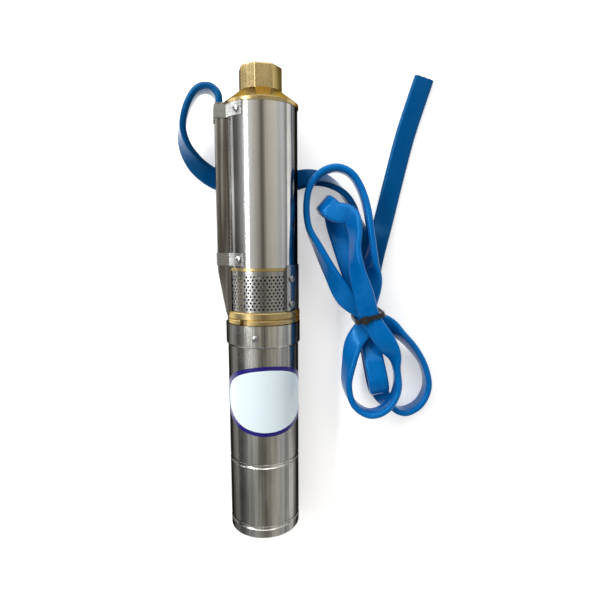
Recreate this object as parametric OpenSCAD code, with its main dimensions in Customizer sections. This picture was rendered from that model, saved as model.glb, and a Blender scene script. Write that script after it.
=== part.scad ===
// Borehole submersible pump, lying on a level surface with its flat cable beside it.
// Every piece is drawn upright: axis on Z, base at z = 0, front on -Y.
// laid() then puts the pump on its back, with +Y towards the outlet and +Z up.
// The casing rests on the cable that crosses under it, so the axis leans by a degree.

/* [Motor] */
// Outside diameter of the motor tube
motor_d = 75; // [70:0.5:82]
// Wall of the motor tube
motor_wall = 1.5; // [1:0.1:2]
// Height of the motor tube below its belled collar
motor_h = 206; // [200:1:225]
// Outside diameter of the belled collar
collar_d = 78.5; // [77:0.5:86]
// Height of the belled collar
collar_h = 21; // [18:1:26]
// Height of the lower rolled groove
low_groove_z = 11.8; // [9:0.1:13]
// Height of the upper rolled groove
high_groove_z = 79.7; // [72:0.1:82]
// Depth of the rolled grooves
groove_depth = 1; // [0.5:0.1:1.5]
// Length of the stator's lamination stack
core_h = 60; // [40:1:70]
// Diameter of the hole through the stator stack
core_bore_d = 40; // [36:0.5:42]
// Air gap between magnets and stator stack, on the radius
air_gap = 0.7; // [0.4:0.1:1]
// Number of slots in the stator stack
slot_count = 12; // [6:3:18]
// Number of magnets on the motor rotor
magnet_count = 8; // [4:2:12]

/* [Intake] */
// Outside diameter of the two brass rings
flange_d = 78; // [76:0.5:84]
// Height of the motor head's brass ring
head_ring_h = 5.5; // [5:0.5:8]
// Height of the intake body's brass ring
flange_h = 7.5; // [7:0.5:10]
// Outside diameter of the strainer
screen_d = 70.6; // [68:0.2:72]
// Sheet thickness of the strainer, its plate and the cable guard
sheet_t = 0.8; // [0.6:0.1:1]
// Height of the strainer
screen_h = 41; // [36:1:48]
// Height of the upper brass ring
upper_ring_h = 3.5; // [3:0.5:6]
// Diameter of the upper brass ring
upper_ring_d = 72; // [71:0.2:73]
// Diameter of the strainer's holes
hole_d = 2.2; // [1.6:0.1:2.6]
// Number of holes in a full turn of one row
holes_round = 52; // [36:1:54]
// Number of rows of holes
hole_rows = 11; // [6:1:11]

/* [Pump casing and outlet] */
// Outside diameter of the pump casing
casing_d = 74.5; // [73.5:0.5:80]
// Wall of the pump casing
casing_wall = 2; // [1.5:0.1:2.2]
// Height of the pump casing
casing_h = 158; // [144:0.5:184]
// Depth of the brass spigots inside the casing
spigot_h = 18; // [14:1:22]
// Diameter of the lip over the casing's top edge
lip_d = 76.5; // [75.5:0.5:83]
// Height of the lip
lip_h = 4; // [3:0.5:6]
// Height of the cone between the lip and the spanner flats
cone_h = 8.5; // [7:0.5:14]
// Width across the eight spanner flats
flats_w = 41; // [40:0.5:46]
// Height of the spanner flats
flats_h = 27; // [24:1:36]
// Bore of the outlet thread, a one-inch pipe thread's inner diameter
outlet_bore_d = 30.3; // [29:0.1:32]
// Depth of the outlet thread
outlet_depth = 20; // [16:1:22]

/* [Screw pump] */
// Diameter of the screw's round section
screw_d = 16; // [14:0.5:17]
// Distance of the screw's axis from the pump's axis
throw = 3; // [2:0.25:3.5]
// Height in which the screw makes one turn
screw_lead = 36; // [30:1:48]
// Gap between the screw and its rubber stator
screw_gap = 0.45; // [0.4:0.05:0.6]
// Wall of the steel sleeve round the rubber stator
sleeve_wall = 2; // [1.5:0.1:3]
// Radius of the ball ends of the connecting rod
ball_r = 6.5; // [6:0.1:7]
// Distance between the ball ends
rod_h = 28; // [25:0.5:29]

/* [Shaft and bearings] */
// Diameter of the shaft in the motor rotor
shaft_d = 16; // [14:0.5:17]
// Diameter of the shaft in the upper bearing
upper_journal_d = 15; // [12:0.5:15]
// Diameter of the shaft's two ends
end_journal_d = 12; // [10:0.5:12]
// Outside diameter of the drive coupling
coupling_d = 22; // [20:0.5:26]
// Gap between balls and races
ball_gap = 0.08; // [0.05:0.01:0.15]

/* [Cable and guard] */
// Width of the flat cable
cable_w = 22; // [18:0.5:22.5]
// Thickness of the flat cable
cable_t = 7; // [6:0.25:7]
// Direction of the cable guard round the pump
guard_angle = 192; // [186:1:198]
// Gap beside the cable inside the guard
guard_gap = 0.7; // [0.5:0.1:1.5]
// Gap under the cable inside the guard
cable_lift = 1.1; // [1.05:0.05:2]
// Gap between the cable and the guard's outer wall
guard_slack = 0.15; // [0.1:0.05:0.5]
// Height of the guard's two straps
strap_h = 12.5; // [10:0.5:16]
// Sheet thickness of the straps
strap_t = 1; // [0.8:0.1:1.5]
// Angle from the guard's middle to the strap screws
strap_screw_angle = 44.5; // [40:0.5:50]
// Head diameter of the small screws
screw_head_d = 7; // [6:0.5:8]
// Shank diameter of the small screws
screw_shank_d = 4; // [3:0.5:4]
// Corner of the free cable's flat section
cable_corner = 2.4; // [1.5:0.1:3]

/* [Hidden] */
$fn = 72;
eps = 0.02;

// Heights of the outside, from the base up
collar_z = motor_h;
ring_z = collar_z + collar_h;
flange_z = ring_z + head_ring_h;
screen_z = flange_z + flange_h;
upper_ring_z = screen_z + screen_h;
casing_z = upper_ring_z + upper_ring_h;
lip_z = casing_z + casing_h;
cone_z = lip_z + lip_h;
flats_z = cone_z + cone_h;
top_z = flats_z + flats_h;

// Radii of the outside
motor_r = motor_d / 2;
motor_in_r = motor_r - motor_wall;
collar_r = collar_d / 2;
collar_in_r = collar_r - motor_wall;
flange_r = flange_d / 2;
casing_r = casing_d / 2;
casing_in_r = casing_r - casing_wall;
screen_r = screen_d / 2;
screen_in_r = screen_r - sheet_t;
upper_ring_r = upper_ring_d / 2;
lip_r = lip_d / 2;
flats_r = flats_w / 2 / cos(22.5);
outlet_r = outlet_bore_d / 2;
rim_round = 1.5;

// Heights inside the motor
cap_h = 18;
housing_z = high_groove_z - 11;
housing_h = 22;
low_bearing_z = high_groove_z - 5;
core_z = housing_z + housing_h + 12;
core_r = motor_in_r;
winding_end_low = 10;
winding_end_high = 13;
bearing_z = collar_z - 18;
bearing_h = 11;
head_z = bearing_z - 4;
stack_h = min(core_h, head_z - core_z - winding_end_high - 2);
seal_z = collar_z + 7;
seat_z = ring_z - 5;
shaft_z = low_bearing_z - 2;

// Heights inside the pump
coupling_z = screen_z + 2;
sleeve_z = casing_z + spigot_h;
sleeve_top_z = lip_z - spigot_h;
high_ball_z = sleeve_z - 10;
low_ball_z = high_ball_z - rod_h;
shaft_top_z = low_ball_z - 8;
helix_z = sleeve_z - 3;
helix_h = sleeve_top_z + 4 - helix_z;
rotor_head_r = 10;

// Bearings: bore, inner shoulder, ball circle, outer shoulder, outside, ball, width, balls
upper_bearing = [upper_journal_d / 2, 10.8, 12.5, 14.2, 17.5, 2.95, 11, 8];
lower_bearing = [end_journal_d / 2, 9.4, 11, 12.6, 16, 2.85, 10, 8];

// Cable and guard, measured out from the pump's axis
cable_x = casing_r + cable_lift + cable_t / 2;
guard_in_x = cable_x + cable_t / 2 + guard_slack;
guard_x = guard_in_x + sheet_t;
guard_top_z = lip_z + 2;
guard_bend_z = casing_z - 4;
guard_foot_z = flange_z + 3;
cable_bend_z = casing_z - 2;
gland_x = 31.5;
gland_w = cable_w + 3;
gland_t = cable_t + 3;
gland_z = ring_z - 6;
gland_top_z = screen_z;
strap_reach = strap_screw_angle + 9;
low_strap_z = casing_z + 2.2;
high_strap_z = lip_z - strap_h;

// Directions round the pump
plate_angle = 314;
plate_sweep = 52;
plate_screw_angle = 324;
guard_w = cable_w + 2 * (sheet_t + guard_gap);
plate_r = casing_r + sheet_t + 0.2;
plate_z = screen_z + 1;
plate_h = screen_h + upper_ring_h + 1.5;
post_angle = plate_screw_angle;
collar_screw_angle = 263;
collar_screw_z = collar_z + 8.3;
flats_turn = 36.5;
slot_angle = 244;

// How the pump lies: on its base edge and on the cable under the casing
cross_z = top_z / 2 + 117;
lean = asin((cable_t + casing_r - motor_r + 0.1) / (cross_z - rim_round));
rest_z = motor_r * cos(lean) - rim_round * sin(lean);
guard_turn = guard_angle - 180;
guard_reach = (guard_x + strap_t) * cos(guard_turn) + (guard_w / 2 + strap_t) * sin(guard_turn);
rest_x = (guard_reach - collar_r) / 2;
rest_y = -top_z * cos(lean) / 2;

module laid() {
    translate([rest_x, rest_y, rest_z]) rotate([lean - 90, 0, 0]) children();
}

// Shared shapes

module tube(r, r_in, h) {
    difference() {
        cylinder(r = r, h = h);
        translate([0, 0, -1]) cylinder(r = r_in, h = h + 2);
    }
}

// Part of a tube, from one direction through a sweep
module arc_tube(r, r_in, h, from, sweep) {
    rotate([0, 0, from]) rotate_extrude(angle = sweep) translate([r_in, 0]) square([r - r_in, h]);
}

// Turns a piece drawn along +X to a direction round the pump
module facing(angle) {
    rotate([0, 0, angle]) children();
}

// A round bar that points away from the pump's axis
module spoke(r, x0, x1, angle, z) {
    facing(angle) translate([x0, 0, z]) rotate([0, 90, 0]) cylinder(r = r, h = x1 - x0, $fn = 24);
}

// A pan-head screw with a cross recess, its head seated at x0 and its tip at x1
module pan_screw(x0, x1, angle, z) {
    head_h = screw_head_d * 0.35;
    facing(angle) translate([x0, 0, z]) rotate([0, 90, 0]) difference() {
        union() {
            translate([0, 0, x1 - x0]) cylinder(d = screw_shank_d, h = x0 - x1 + eps, $fn = 24);
            rotate_extrude($fn = 32) intersection() {
                translate([0, head_h - screw_head_d]) circle(r = screw_head_d, $fn = 72);
                square([screw_head_d / 2, screw_head_d]);
            }
        }
        for (turn = [0, 90])
            rotate([0, 0, turn]) translate([-1.8, -0.4, head_h - 1]) cube([3.6, 0.8, 3]);
    }
}

module race(b, x0, x1, h) {
    rotate_extrude() difference() {
        translate([x0, 0]) square([x1 - x0, h]);
        translate([b[2], h / 2]) circle(r = b[5] + ball_gap, $fn = 48);
    }
}

module ball_set(b) {
    for (i = [0 : b[7] - 1])
        rotate([0, 0, i * 360 / b[7]]) translate([b[2], 0, b[6] / 2]) sphere(r = b[5], $fn = 32);
}

module ring_seal(r, wire, z) {
    translate([0, 0, z]) rotate_extrude() translate([r - wire, 0]) circle(r = wire, $fn = 24);
}

// Motor, outside

module motor_tube_profile() {
    groove_r = 3.6;
    difference() {
        union() {
            difference() {
                translate([motor_in_r, 0]) square([motor_wall, collar_z - 2]);
                translate([motor_r - rim_round, -eps]) square([rim_round + 1, rim_round + eps]);
            }
            translate([motor_r - rim_round, rim_round]) intersection() {
                circle(r = rim_round, $fn = 32);
                translate([0, -rim_round]) square(rim_round);
            }
            polygon([
                [motor_in_r, collar_z - 2], [motor_r, collar_z - 2], [collar_r, collar_z],
                [collar_r, ring_z], [collar_in_r, ring_z], [collar_in_r, collar_z]
            ]);
            for (z = [low_groove_z, high_groove_z]) intersection() {
                translate([motor_in_r - groove_depth + groove_r, z]) circle(r = groove_r, $fn = 48);
                translate([motor_in_r - groove_depth, z - groove_r])
                    square([groove_depth + eps, 2 * groove_r]);
            }
        }
        for (z = [low_groove_z, high_groove_z])
            translate([motor_r - groove_depth + groove_r, z]) circle(r = groove_r, $fn = 48);
    }
}

module motor_tube() {
    color("silver") difference() {
        rotate_extrude($fn = 96) motor_tube_profile();
        for (i = [0 : 2])
            spoke(screw_shank_d / 2, motor_r - 4, collar_r + 2, collar_screw_angle + 120 * i, collar_screw_z);
    }
}

module collar_screws() {
    color("gainsboro") for (i = [0 : 2])
        pan_screw(collar_r, collar_r - 6, collar_screw_angle + 120 * i, collar_screw_z);
}

// A disc that the rolled groove holds in the tube
module held_disc(z, h, groove_z) {
    translate([0, 0, z]) rotate_extrude($fn = 96) difference() {
        square([motor_in_r, h]);
        translate([motor_in_r - groove_depth + 3.6, groove_z - z]) circle(r = 3.6, $fn = 48);
    }
}

module bottom_cap() {
    color("dimgray") difference() {
        held_disc(0, cap_h, low_groove_z);
        translate([0, 0, -1]) cylinder(d = 8, h = cap_h + 2, $fn = 32);
        translate([0, 0, -1]) cylinder(d = 17, h = 4, $fn = 48);
        translate([0, 0, cap_h - 10]) tube(motor_in_r - 6, 12, 11);
    }
}

module filler_plug() {
    color("silver") difference() {
        union() {
            cylinder(d = 16.6, h = 3, $fn = 48);
            cylinder(d = 8, h = cap_h - 2, $fn = 32);
        }
        translate([-5, -0.8, -1]) cube([10, 1.6, 2.2]);
    }
}

// Motor, inside

module pressure_diaphragm() {
    wall = 2;
    bag_r = 0.61 * motor_in_r;
    rim_r = motor_in_r - 0.05;
    cup_h = housing_z - cap_h - 14;
    color("#303030") translate([0, 0, cap_h]) rotate_extrude() polygon([
        [bag_r, 0], [rim_r, 0], [rim_r, wall], [bag_r + wall, wall], [bag_r + wall, cup_h - 4],
        [bag_r - wall, cup_h + wall], [0, cup_h + wall],
        [0, cup_h], [bag_r - wall - 1, cup_h], [bag_r, cup_h - 4]
    ]);
}

module lower_bearing_housing() {
    color("darkgray") difference() {
        held_disc(housing_z, housing_h, high_groove_z);
        translate([0, 0, low_bearing_z]) cylinder(r = lower_bearing[4], h = housing_h);
        translate([0, 0, housing_z - 1]) cylinder(r = lower_bearing[3], h = housing_h);
        for (i = [0 : 5]) facing(60 * i)
            translate([26, 0, housing_z - 1]) cylinder(d = 8, h = housing_h + 2, $fn = 32);
    }
}

module lower_bearing_outer() {
    color("silver") translate([0, 0, low_bearing_z])
        race(lower_bearing, lower_bearing[3], lower_bearing[4], lower_bearing[6]);
}

module lower_bearing_inner() {
    color("silver") translate([0, 0, low_bearing_z])
        race(lower_bearing, lower_bearing[0], lower_bearing[1], lower_bearing[6]);
}

module lower_bearing_balls() {
    color("white") translate([0, 0, low_bearing_z]) ball_set(lower_bearing);
}

module slot_shape(inset) {
    depth = core_r - core_bore_d / 2 - 6;
    translate([core_bore_d / 2 + 2 + inset, -2.2 + inset]) square([depth - 2 * inset, 4.4 - 2 * inset]);
}

module stator_core() {
    color("slategray") translate([0, 0, core_z]) linear_extrude(stack_h) difference() {
        circle(r = core_r, $fn = 96);
        circle(d = core_bore_d);
        for (i = [0 : slot_count - 1]) rotate(i * 360 / slot_count) {
            slot_shape(0);
            translate([core_bore_d / 2 - 1, -0.9]) square([4, 1.8]);
        }
    }
}

module stator_winding() {
    inner = core_bore_d / 2 + 2.2;
    outer = core_r - 4.2;
    color("#b06a2c") {
        for (i = [0 : slot_count - 1]) rotate([0, 0, i * 360 / slot_count])
            translate([0, 0, core_z - 2]) linear_extrude(stack_h + 4) slot_shape(0.2);
        translate([0, 0, core_z - winding_end_low])
            rotate_extrude() winding_end(inner, outer, winding_end_low);
        translate([0, 0, core_z + stack_h + winding_end_high]) mirror([0, 0, 1])
            rotate_extrude() winding_end(inner, outer, winding_end_high);
    }
}

// Half section of the bunched wire at one end of the stack
module winding_end(inner, outer, h) {
    polygon([
        [inner, h], [inner, 3], [inner + 2.5, 0], [outer - 2.5, 0], [outer, 3], [outer, h]
    ]);
}

module motor_shaft() {
    color("lightsteelblue") rotate_extrude() polygon([
        [0, shaft_z], [end_journal_d / 2, shaft_z], [end_journal_d / 2, low_bearing_z + 10],
        [shaft_d / 2, low_bearing_z + 10], [shaft_d / 2, bearing_z], [upper_journal_d / 2, bearing_z],
        [upper_journal_d / 2, seal_z - 2], [end_journal_d / 2, seal_z - 2],
        [end_journal_d / 2, shaft_top_z], [0, shaft_top_z]
    ]);
}

module rotor_core() {
    color("gray") translate([0, 0, core_z]) tube(core_bore_d / 2 - air_gap - 2.8, shaft_d / 2, stack_h);
}

module rotor_magnets() {
    sweep = 360 / magnet_count;
    r = core_bore_d / 2 - air_gap;
    color("#45454d") for (i = [0 : magnet_count - 1])
        translate([0, 0, core_z]) arc_tube(r, r - 2.8, stack_h, i * sweep, sweep - 4);
}

module upper_bearing_outer() {
    color("silver") translate([0, 0, bearing_z])
        race(upper_bearing, upper_bearing[3], upper_bearing[4], upper_bearing[6]);
}

module upper_bearing_inner() {
    color("silver") translate([0, 0, bearing_z])
        race(upper_bearing, upper_bearing[0], upper_bearing[1], upper_bearing[6]);
}

module upper_bearing_balls() {
    color("white") translate([0, 0, bearing_z]) ball_set(upper_bearing);
}

// Pocket for the cable gland, cut from both brass rings
module gland_pocket() {
    facing(guard_angle) translate([gland_x - gland_t / 2, -gland_w / 2, gland_z])
        cube([flange_r + 2 - gland_x + gland_t / 2, gland_w, gland_top_z - gland_z + 1]);
}

module motor_head() {
    seat_r = 15;
    color("darkgoldenrod") difference() {
        rotate_extrude($fn = 96) polygon([
            [upper_bearing[4], head_z], [motor_in_r, head_z], [motor_in_r, collar_z - 2],
            [collar_in_r, collar_z], [collar_in_r, ring_z], [flange_r - 1, ring_z], [flange_r, ring_z + 1],
            [flange_r, flange_z - 1], [flange_r - 1, flange_z], [seat_r + 3, flange_z], [seat_r, seat_z + 5],
            [seat_r, seat_z], [seat_r - 2, seat_z], [seat_r - 2, seal_z - 2],
            [9, seal_z - 2], [9, bearing_z + bearing_h], [upper_bearing[4], bearing_z + bearing_h]
        ]);
        gland_pocket();
        for (i = [0 : 2])
            spoke(screw_shank_d / 2, collar_r - 6, collar_r + 2,
                collar_screw_angle + 120 * i, collar_screw_z);
        for (turn = [0, 180]) facing(slot_angle + turn)
            translate([flange_r - 5, -4, ring_z - 0.5]) cube([8, 8, head_ring_h + 1.5]);
    }
}

module seal_seat() {
    color("ivory") translate([0, 0, seat_z]) tube(15, end_journal_d / 2 + 0.8, 5);
}

module rotating_seal() {
    color("#38383c") translate([0, 0, seal_z]) rotate_extrude() polygon([
        [end_journal_d / 2, 0], [10, 0], [10, 3], [8.5, 4], [10.5, 5],
        [10.5, seat_z - seal_z - 0.05], [end_journal_d / 2, seat_z - seal_z - 0.05]
    ]);
}

module sand_slinger() {
    color("#262626") translate([0, 0, flange_z + 1.5]) rotate_extrude() polygon([
        [end_journal_d / 2, 0], [10, 0], [16, -1], [16.5, 0.5], [11, 3.5], [9.5, 6], [end_journal_d / 2, 6]
    ]);
}

// Intake

module intake_body() {
    bore = 19;
    mouth = screen_in_r - 7;
    color("goldenrod") difference() {
        union() {
            rotate_extrude($fn = 96) polygon([
                [bore, flange_z], [flange_r - 1, flange_z], [flange_r, flange_z + 1],
                [flange_r, screen_z - 1], [flange_r - 1, screen_z], [bore + 3, screen_z]
            ]);
            for (i = [0 : 3]) facing(post_angle + 90 * i)
                translate([0, 0, screen_z - 1]) intersection() {
                    tube(screen_in_r, mouth + 0.6, screen_h + 2);
                    translate([mouth - 2, -5, 0]) cube([12, 10, screen_h + 2]);
                }
            translate([0, 0, upper_ring_z]) rotate_extrude($fn = 96) polygon([
                [mouth, 0], [upper_ring_r - 0.6, 0], [upper_ring_r, 0.6], [upper_ring_r, upper_ring_h],
                [casing_in_r, upper_ring_h], [casing_in_r, upper_ring_h + 4],
                [casing_in_r - 2, upper_ring_h + 4],
                [casing_in_r - 2, upper_ring_h + 7], [casing_in_r, upper_ring_h + 7],
                [casing_in_r, upper_ring_h + spigot_h], [mouth, upper_ring_h + spigot_h]
            ]);
        }
        gland_pocket();
        for (z = plate_screw_heights())
            spoke(screw_shank_d / 2, screen_in_r - 6, screen_r + 4, plate_screw_angle, z);
    }
}

function plate_screw_heights() = [plate_z + plate_h * 0.14, plate_z + plate_h * 0.7];

module intake_seal() {
    color("#202020") ring_seal(casing_in_r - 0.05, 0.95, casing_z + 5.5);
}

// Perforated sheet, open where the cable passes behind the guard
module strainer_screen() {
    gap = asin((cable_w / 2 + 0.6) / screen_r);
    pitch = 360 / holes_round;
    row_h = (screen_h - 8.7) / (hole_rows - 1);
    color("lightgray") difference() {
        translate([0, 0, screen_z])
            arc_tube(screen_r, screen_in_r, screen_h, guard_angle + gap, 360 - 2 * gap);
        for (row = [0 : hole_rows - 1], i = [0 : holes_round - 1])
            let (turn = (i + (row % 2) / 2) * pitch, past_plate = turn + guard_angle - plate_angle)
                if (turn > gap + 3 && turn < 360 - gap - 3
                    && (past_plate < -2 || past_plate > plate_sweep + 2))
                    spoke(hole_d / 2, screen_in_r - 1, screen_r + 1, guard_angle + turn,
                        screen_z + 3.3 + row * row_h);
        for (z = plate_screw_heights())
            spoke(screw_shank_d / 2, screen_in_r - 1, screen_r + 1, plate_screw_angle, z);
    }
}

// Shallow pressed cover over the strainer's plain end
module strainer_plate() {
    edge = 2;
    color("silver") difference() {
        translate([0, 0, plate_z]) arc_tube(plate_r, screen_r, plate_h, plate_angle, plate_sweep);
        translate([0, 0, plate_z - 1])
            arc_tube(plate_r - sheet_t, screen_r - 1, plate_h + 2,
                plate_angle + edge, plate_sweep - 2 * edge);
        translate([0, 0, casing_z - 0.1]) cylinder(r = casing_r, h = 20);
        translate([0, 0, upper_ring_z - 0.1]) cylinder(r = upper_ring_r, h = 20);
        for (z = plate_screw_heights())
            spoke(screw_shank_d / 2, screen_r - 1, plate_r + 1, plate_screw_angle, z);
    }
}

module strainer_screws() {
    color("gainsboro") for (z = plate_screw_heights())
        pan_screw(plate_r, screen_in_r - 5, plate_screw_angle, z);
}

// Pump casing and outlet

module strap_screw_holes(x0, x1) {
    for (z = [low_strap_z, high_strap_z] + [strap_h, strap_h] / 2, side = [-1, 1])
        spoke(screw_shank_d / 2, x0, x1, guard_angle + side * strap_screw_angle, z);
}

module casing_tube() {
    color("gainsboro") difference() {
        translate([0, 0, casing_z]) tube(casing_r, casing_in_r, casing_h);
        strap_screw_holes(casing_in_r - 2, casing_r + 2);
    }
}

module outlet_head() {
    color("goldenrod") difference() {
        union() {
            translate([0, 0, lip_z]) rotate_extrude($fn = 96) polygon([
                [0, -spigot_h], [casing_in_r, -spigot_h], [casing_in_r, -7], [casing_in_r - 2, -7],
                [casing_in_r - 2, -4], [casing_in_r, -4], [casing_in_r, 0], [lip_r - 0.5, 0], [lip_r, 0.5],
                [lip_r, lip_h - 0.5], [lip_r - 0.5, lip_h],
                [flats_r - 0.5, lip_h + cone_h], [0, lip_h + cone_h]
            ]);
            intersection() {
                rotate([0, 0, flats_turn]) translate([0, 0, flats_z - 4])
                    cylinder(r = flats_r, h = flats_h + 4, $fn = 8);
                translate([0, 0, flats_z - 5]) rotate_extrude() polygon([
                    [0, 0], [flats_r + 1, 0], [flats_r + 1, flats_h + 4],
                    [flats_w / 2 - 0.5, flats_h + 5], [0, flats_h + 5]
                ]);
            }
        }
        rotate_extrude() polygon([
            [0, lip_z - spigot_h - 1], [casing_in_r - 6, lip_z - spigot_h - 1], [casing_in_r - 6, lip_z - 6],
            [outlet_r - 1.7, lip_z + 10],
            [outlet_r - 1.7, top_z - outlet_depth + 1], [0, top_z - outlet_depth + 1]
        ]);
        translate([0, 0, top_z - outlet_depth]) cylinder(r = outlet_r, h = outlet_depth + 1);
    }
}

module outlet_seal() {
    color("#202020") ring_seal(casing_in_r - 0.05, 0.95, lip_z - 5.5);
}

// Screw pump: a single helix turns in a rubber stator with a helix of twice the lead

module stator_sleeve() {
    color("lightslategray") translate([0, 0, sleeve_z])
        tube(casing_in_r - 0.05, casing_in_r - 0.05 - sleeve_wall, sleeve_top_z - sleeve_z);
}

// Section of the stator's cavity: the screw's circle along its straight stroke
module cavity_section() {
    r = screw_d / 2 + screw_gap;
    polygon([
        for (side = [0, 1], i = [0 : 12])
            let (a = 180 * side - 90 + 15 * i)
                [(side == 0 ? 2 : -2) * throw + r * cos(a), r * sin(a)]
    ]);
}

module rubber_stator() {
    turns = helix_h / screw_lead;
    color("#3a3a3a") difference() {
        translate([0, 0, sleeve_z])
            cylinder(r = casing_in_r - 0.05 - sleeve_wall, h = sleeve_top_z - sleeve_z);
        translate([0, 0, helix_z])
            linear_extrude(helix_h, twist = 180 * turns, slices = ceil(14 * turns), segments = 26)
            cavity_section();
    }
}

module screw_rotor() {
    turns = helix_h / screw_lead;
    color("white") translate([throw, 0, 0]) union() {
        difference() {
            translate([0, 0, high_ball_z - 5]) cylinder(r = rotor_head_r, h = sleeve_z - high_ball_z + 4);
            translate([0, 0, high_ball_z]) sphere(r = ball_r + 0.3);
            translate([0, 0, high_ball_z - 6]) cylinder(r1 = ball_r + 2.2, r2 = ball_r - 0.8, h = 6);
        }
        translate([0, 0, helix_z])
            linear_extrude(helix_h, twist = 360 * turns, slices = ceil(20 * turns), segments = 22)
            translate([throw, 0]) circle(d = screw_d, $fn = 22);
    }
}

module connecting_rod() {
    tilt = atan(throw / rod_h);
    color("silver") {
        translate([0, 0, low_ball_z]) sphere(r = ball_r);
        translate([throw, 0, high_ball_z]) sphere(r = ball_r);
        translate([0, 0, low_ball_z]) rotate([0, tilt, 0]) cylinder(r = 4, h = rod_h / cos(tilt));
    }
}

module drive_coupling() {
    color("lightsteelblue") difference() {
        translate([0, 0, coupling_z]) cylinder(d = coupling_d, h = low_ball_z + 5 - coupling_z);
        translate([0, 0, coupling_z - 1]) cylinder(d = end_journal_d, h = shaft_top_z - coupling_z + 1);
        translate([0, 0, low_ball_z]) sphere(r = ball_r + 0.3);
        translate([0, 0, low_ball_z]) cylinder(r1 = ball_r - 0.8, r2 = ball_r + 2.2, h = 6);
    }
}

// Cable guard

// Side view of the guard or of the space in it: out from the axis, then up
module guard_side(x, foot_x, z0, z1) {
    polygon([
        [20, z0], [foot_x, z0], [x, guard_bend_z], [x, z1], [20, z1]
    ]);
}

module across_guard(w) {
    facing(guard_angle) translate([0, w / 2, 0]) rotate([90, 0, 0]) linear_extrude(w) children();
}

module cable_guard() {
    foot_x = gland_x + gland_t / 2 + 1.2;
    color("silver") difference() {
        across_guard(guard_w) guard_side(guard_x, foot_x + sheet_t, guard_foot_z, guard_top_z);
        across_guard(guard_w - 2 * sheet_t) guard_side(guard_in_x, foot_x, guard_foot_z - 5, guard_top_z + 1);
        translate([0, 0, casing_z - 1]) cylinder(r = casing_r, h = casing_h + 1, $fn = 96);
        translate([0, 0, lip_z]) cylinder(r = lip_r + 0.2, h = 10, $fn = 96);
        translate([0, 0, flange_z]) cylinder(r = flange_r, h = flange_h, $fn = 96);
        translate([0, 0, screen_z - 1]) cylinder(r = upper_ring_r, h = casing_z - screen_z + 1, $fn = 96);
    }
}

// A strap over the guard, with an ear screwed down on each side
module guard_strap(z) {
    color("gainsboro") difference() {
        union() {
            translate([0, 0, z])
                arc_tube(casing_r + strap_t, casing_r, strap_h, guard_angle - strap_reach, 2 * strap_reach);
            facing(guard_angle) translate([20, -guard_w / 2 - strap_t, z])
                cube([guard_x + strap_t - 20, guard_w + 2 * strap_t, strap_h]);
        }
        facing(guard_angle) translate([0, -guard_w / 2, z - 1]) cube([guard_x, guard_w, strap_h + 2]);
        translate([0, 0, z - 1]) cylinder(r = casing_r, h = strap_h + 2, $fn = 96);
        strap_screw_holes(casing_r - 2, casing_r + 6);
    }
}

module upper_guard_strap() guard_strap(high_strap_z);

module lower_guard_strap() guard_strap(low_strap_z);

module guard_screws() {
    color("gainsboro") for (z = [low_strap_z, high_strap_z] + [strap_h, strap_h] / 2, side = [-1, 1])
        pan_screw(casing_r + strap_t, casing_in_r + 0.1, guard_angle + side * strap_screw_angle, z);
}

module cable_gland() {
    color("#181818") difference() {
        intersection() {
            facing(guard_angle) translate([gland_x - gland_t / 2, -gland_w / 2, gland_z])
                cube([gland_t, gland_w, gland_top_z - gland_z]);
            translate([0, 0, gland_z - 1]) cylinder(r = collar_in_r - 0.1, h = gland_top_z - gland_z + 2);
        }
        guarded_cable_shape();
    }
}

// The cable where the gland and the guard hold it
module guarded_cable_shape() {
    t = cable_t / 2;
    across_guard(cable_w) polygon([
        [gland_x - t, gland_z + 1], [gland_x + t, gland_z + 1], [gland_x + t, screen_z],
        [cable_x + t, cable_bend_z], [cable_x + t, guard_top_z - 0.1], [cable_x - t, guard_top_z - 0.1],
        [cable_x - t, cable_bend_z], [gland_x - t, screen_z]
    ]);
}

module guarded_cable() {
    color("#0a5fae") guarded_cable_shape();
}

// Free cable: it leaves the guard on edge, goes under the casing and is tied in a hank

// Where the cable leaves the guard, in the laid frame
exit_x = cable_x * cos(guard_angle);
exit_y = cable_x * sin(guard_angle);
cable_exit = [
    rest_x + exit_x,
    rest_y + exit_y * sin(lean) + guard_top_z * cos(lean),
    rest_z - exit_y * cos(lean) + guard_top_z * sin(lean)
];

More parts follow.
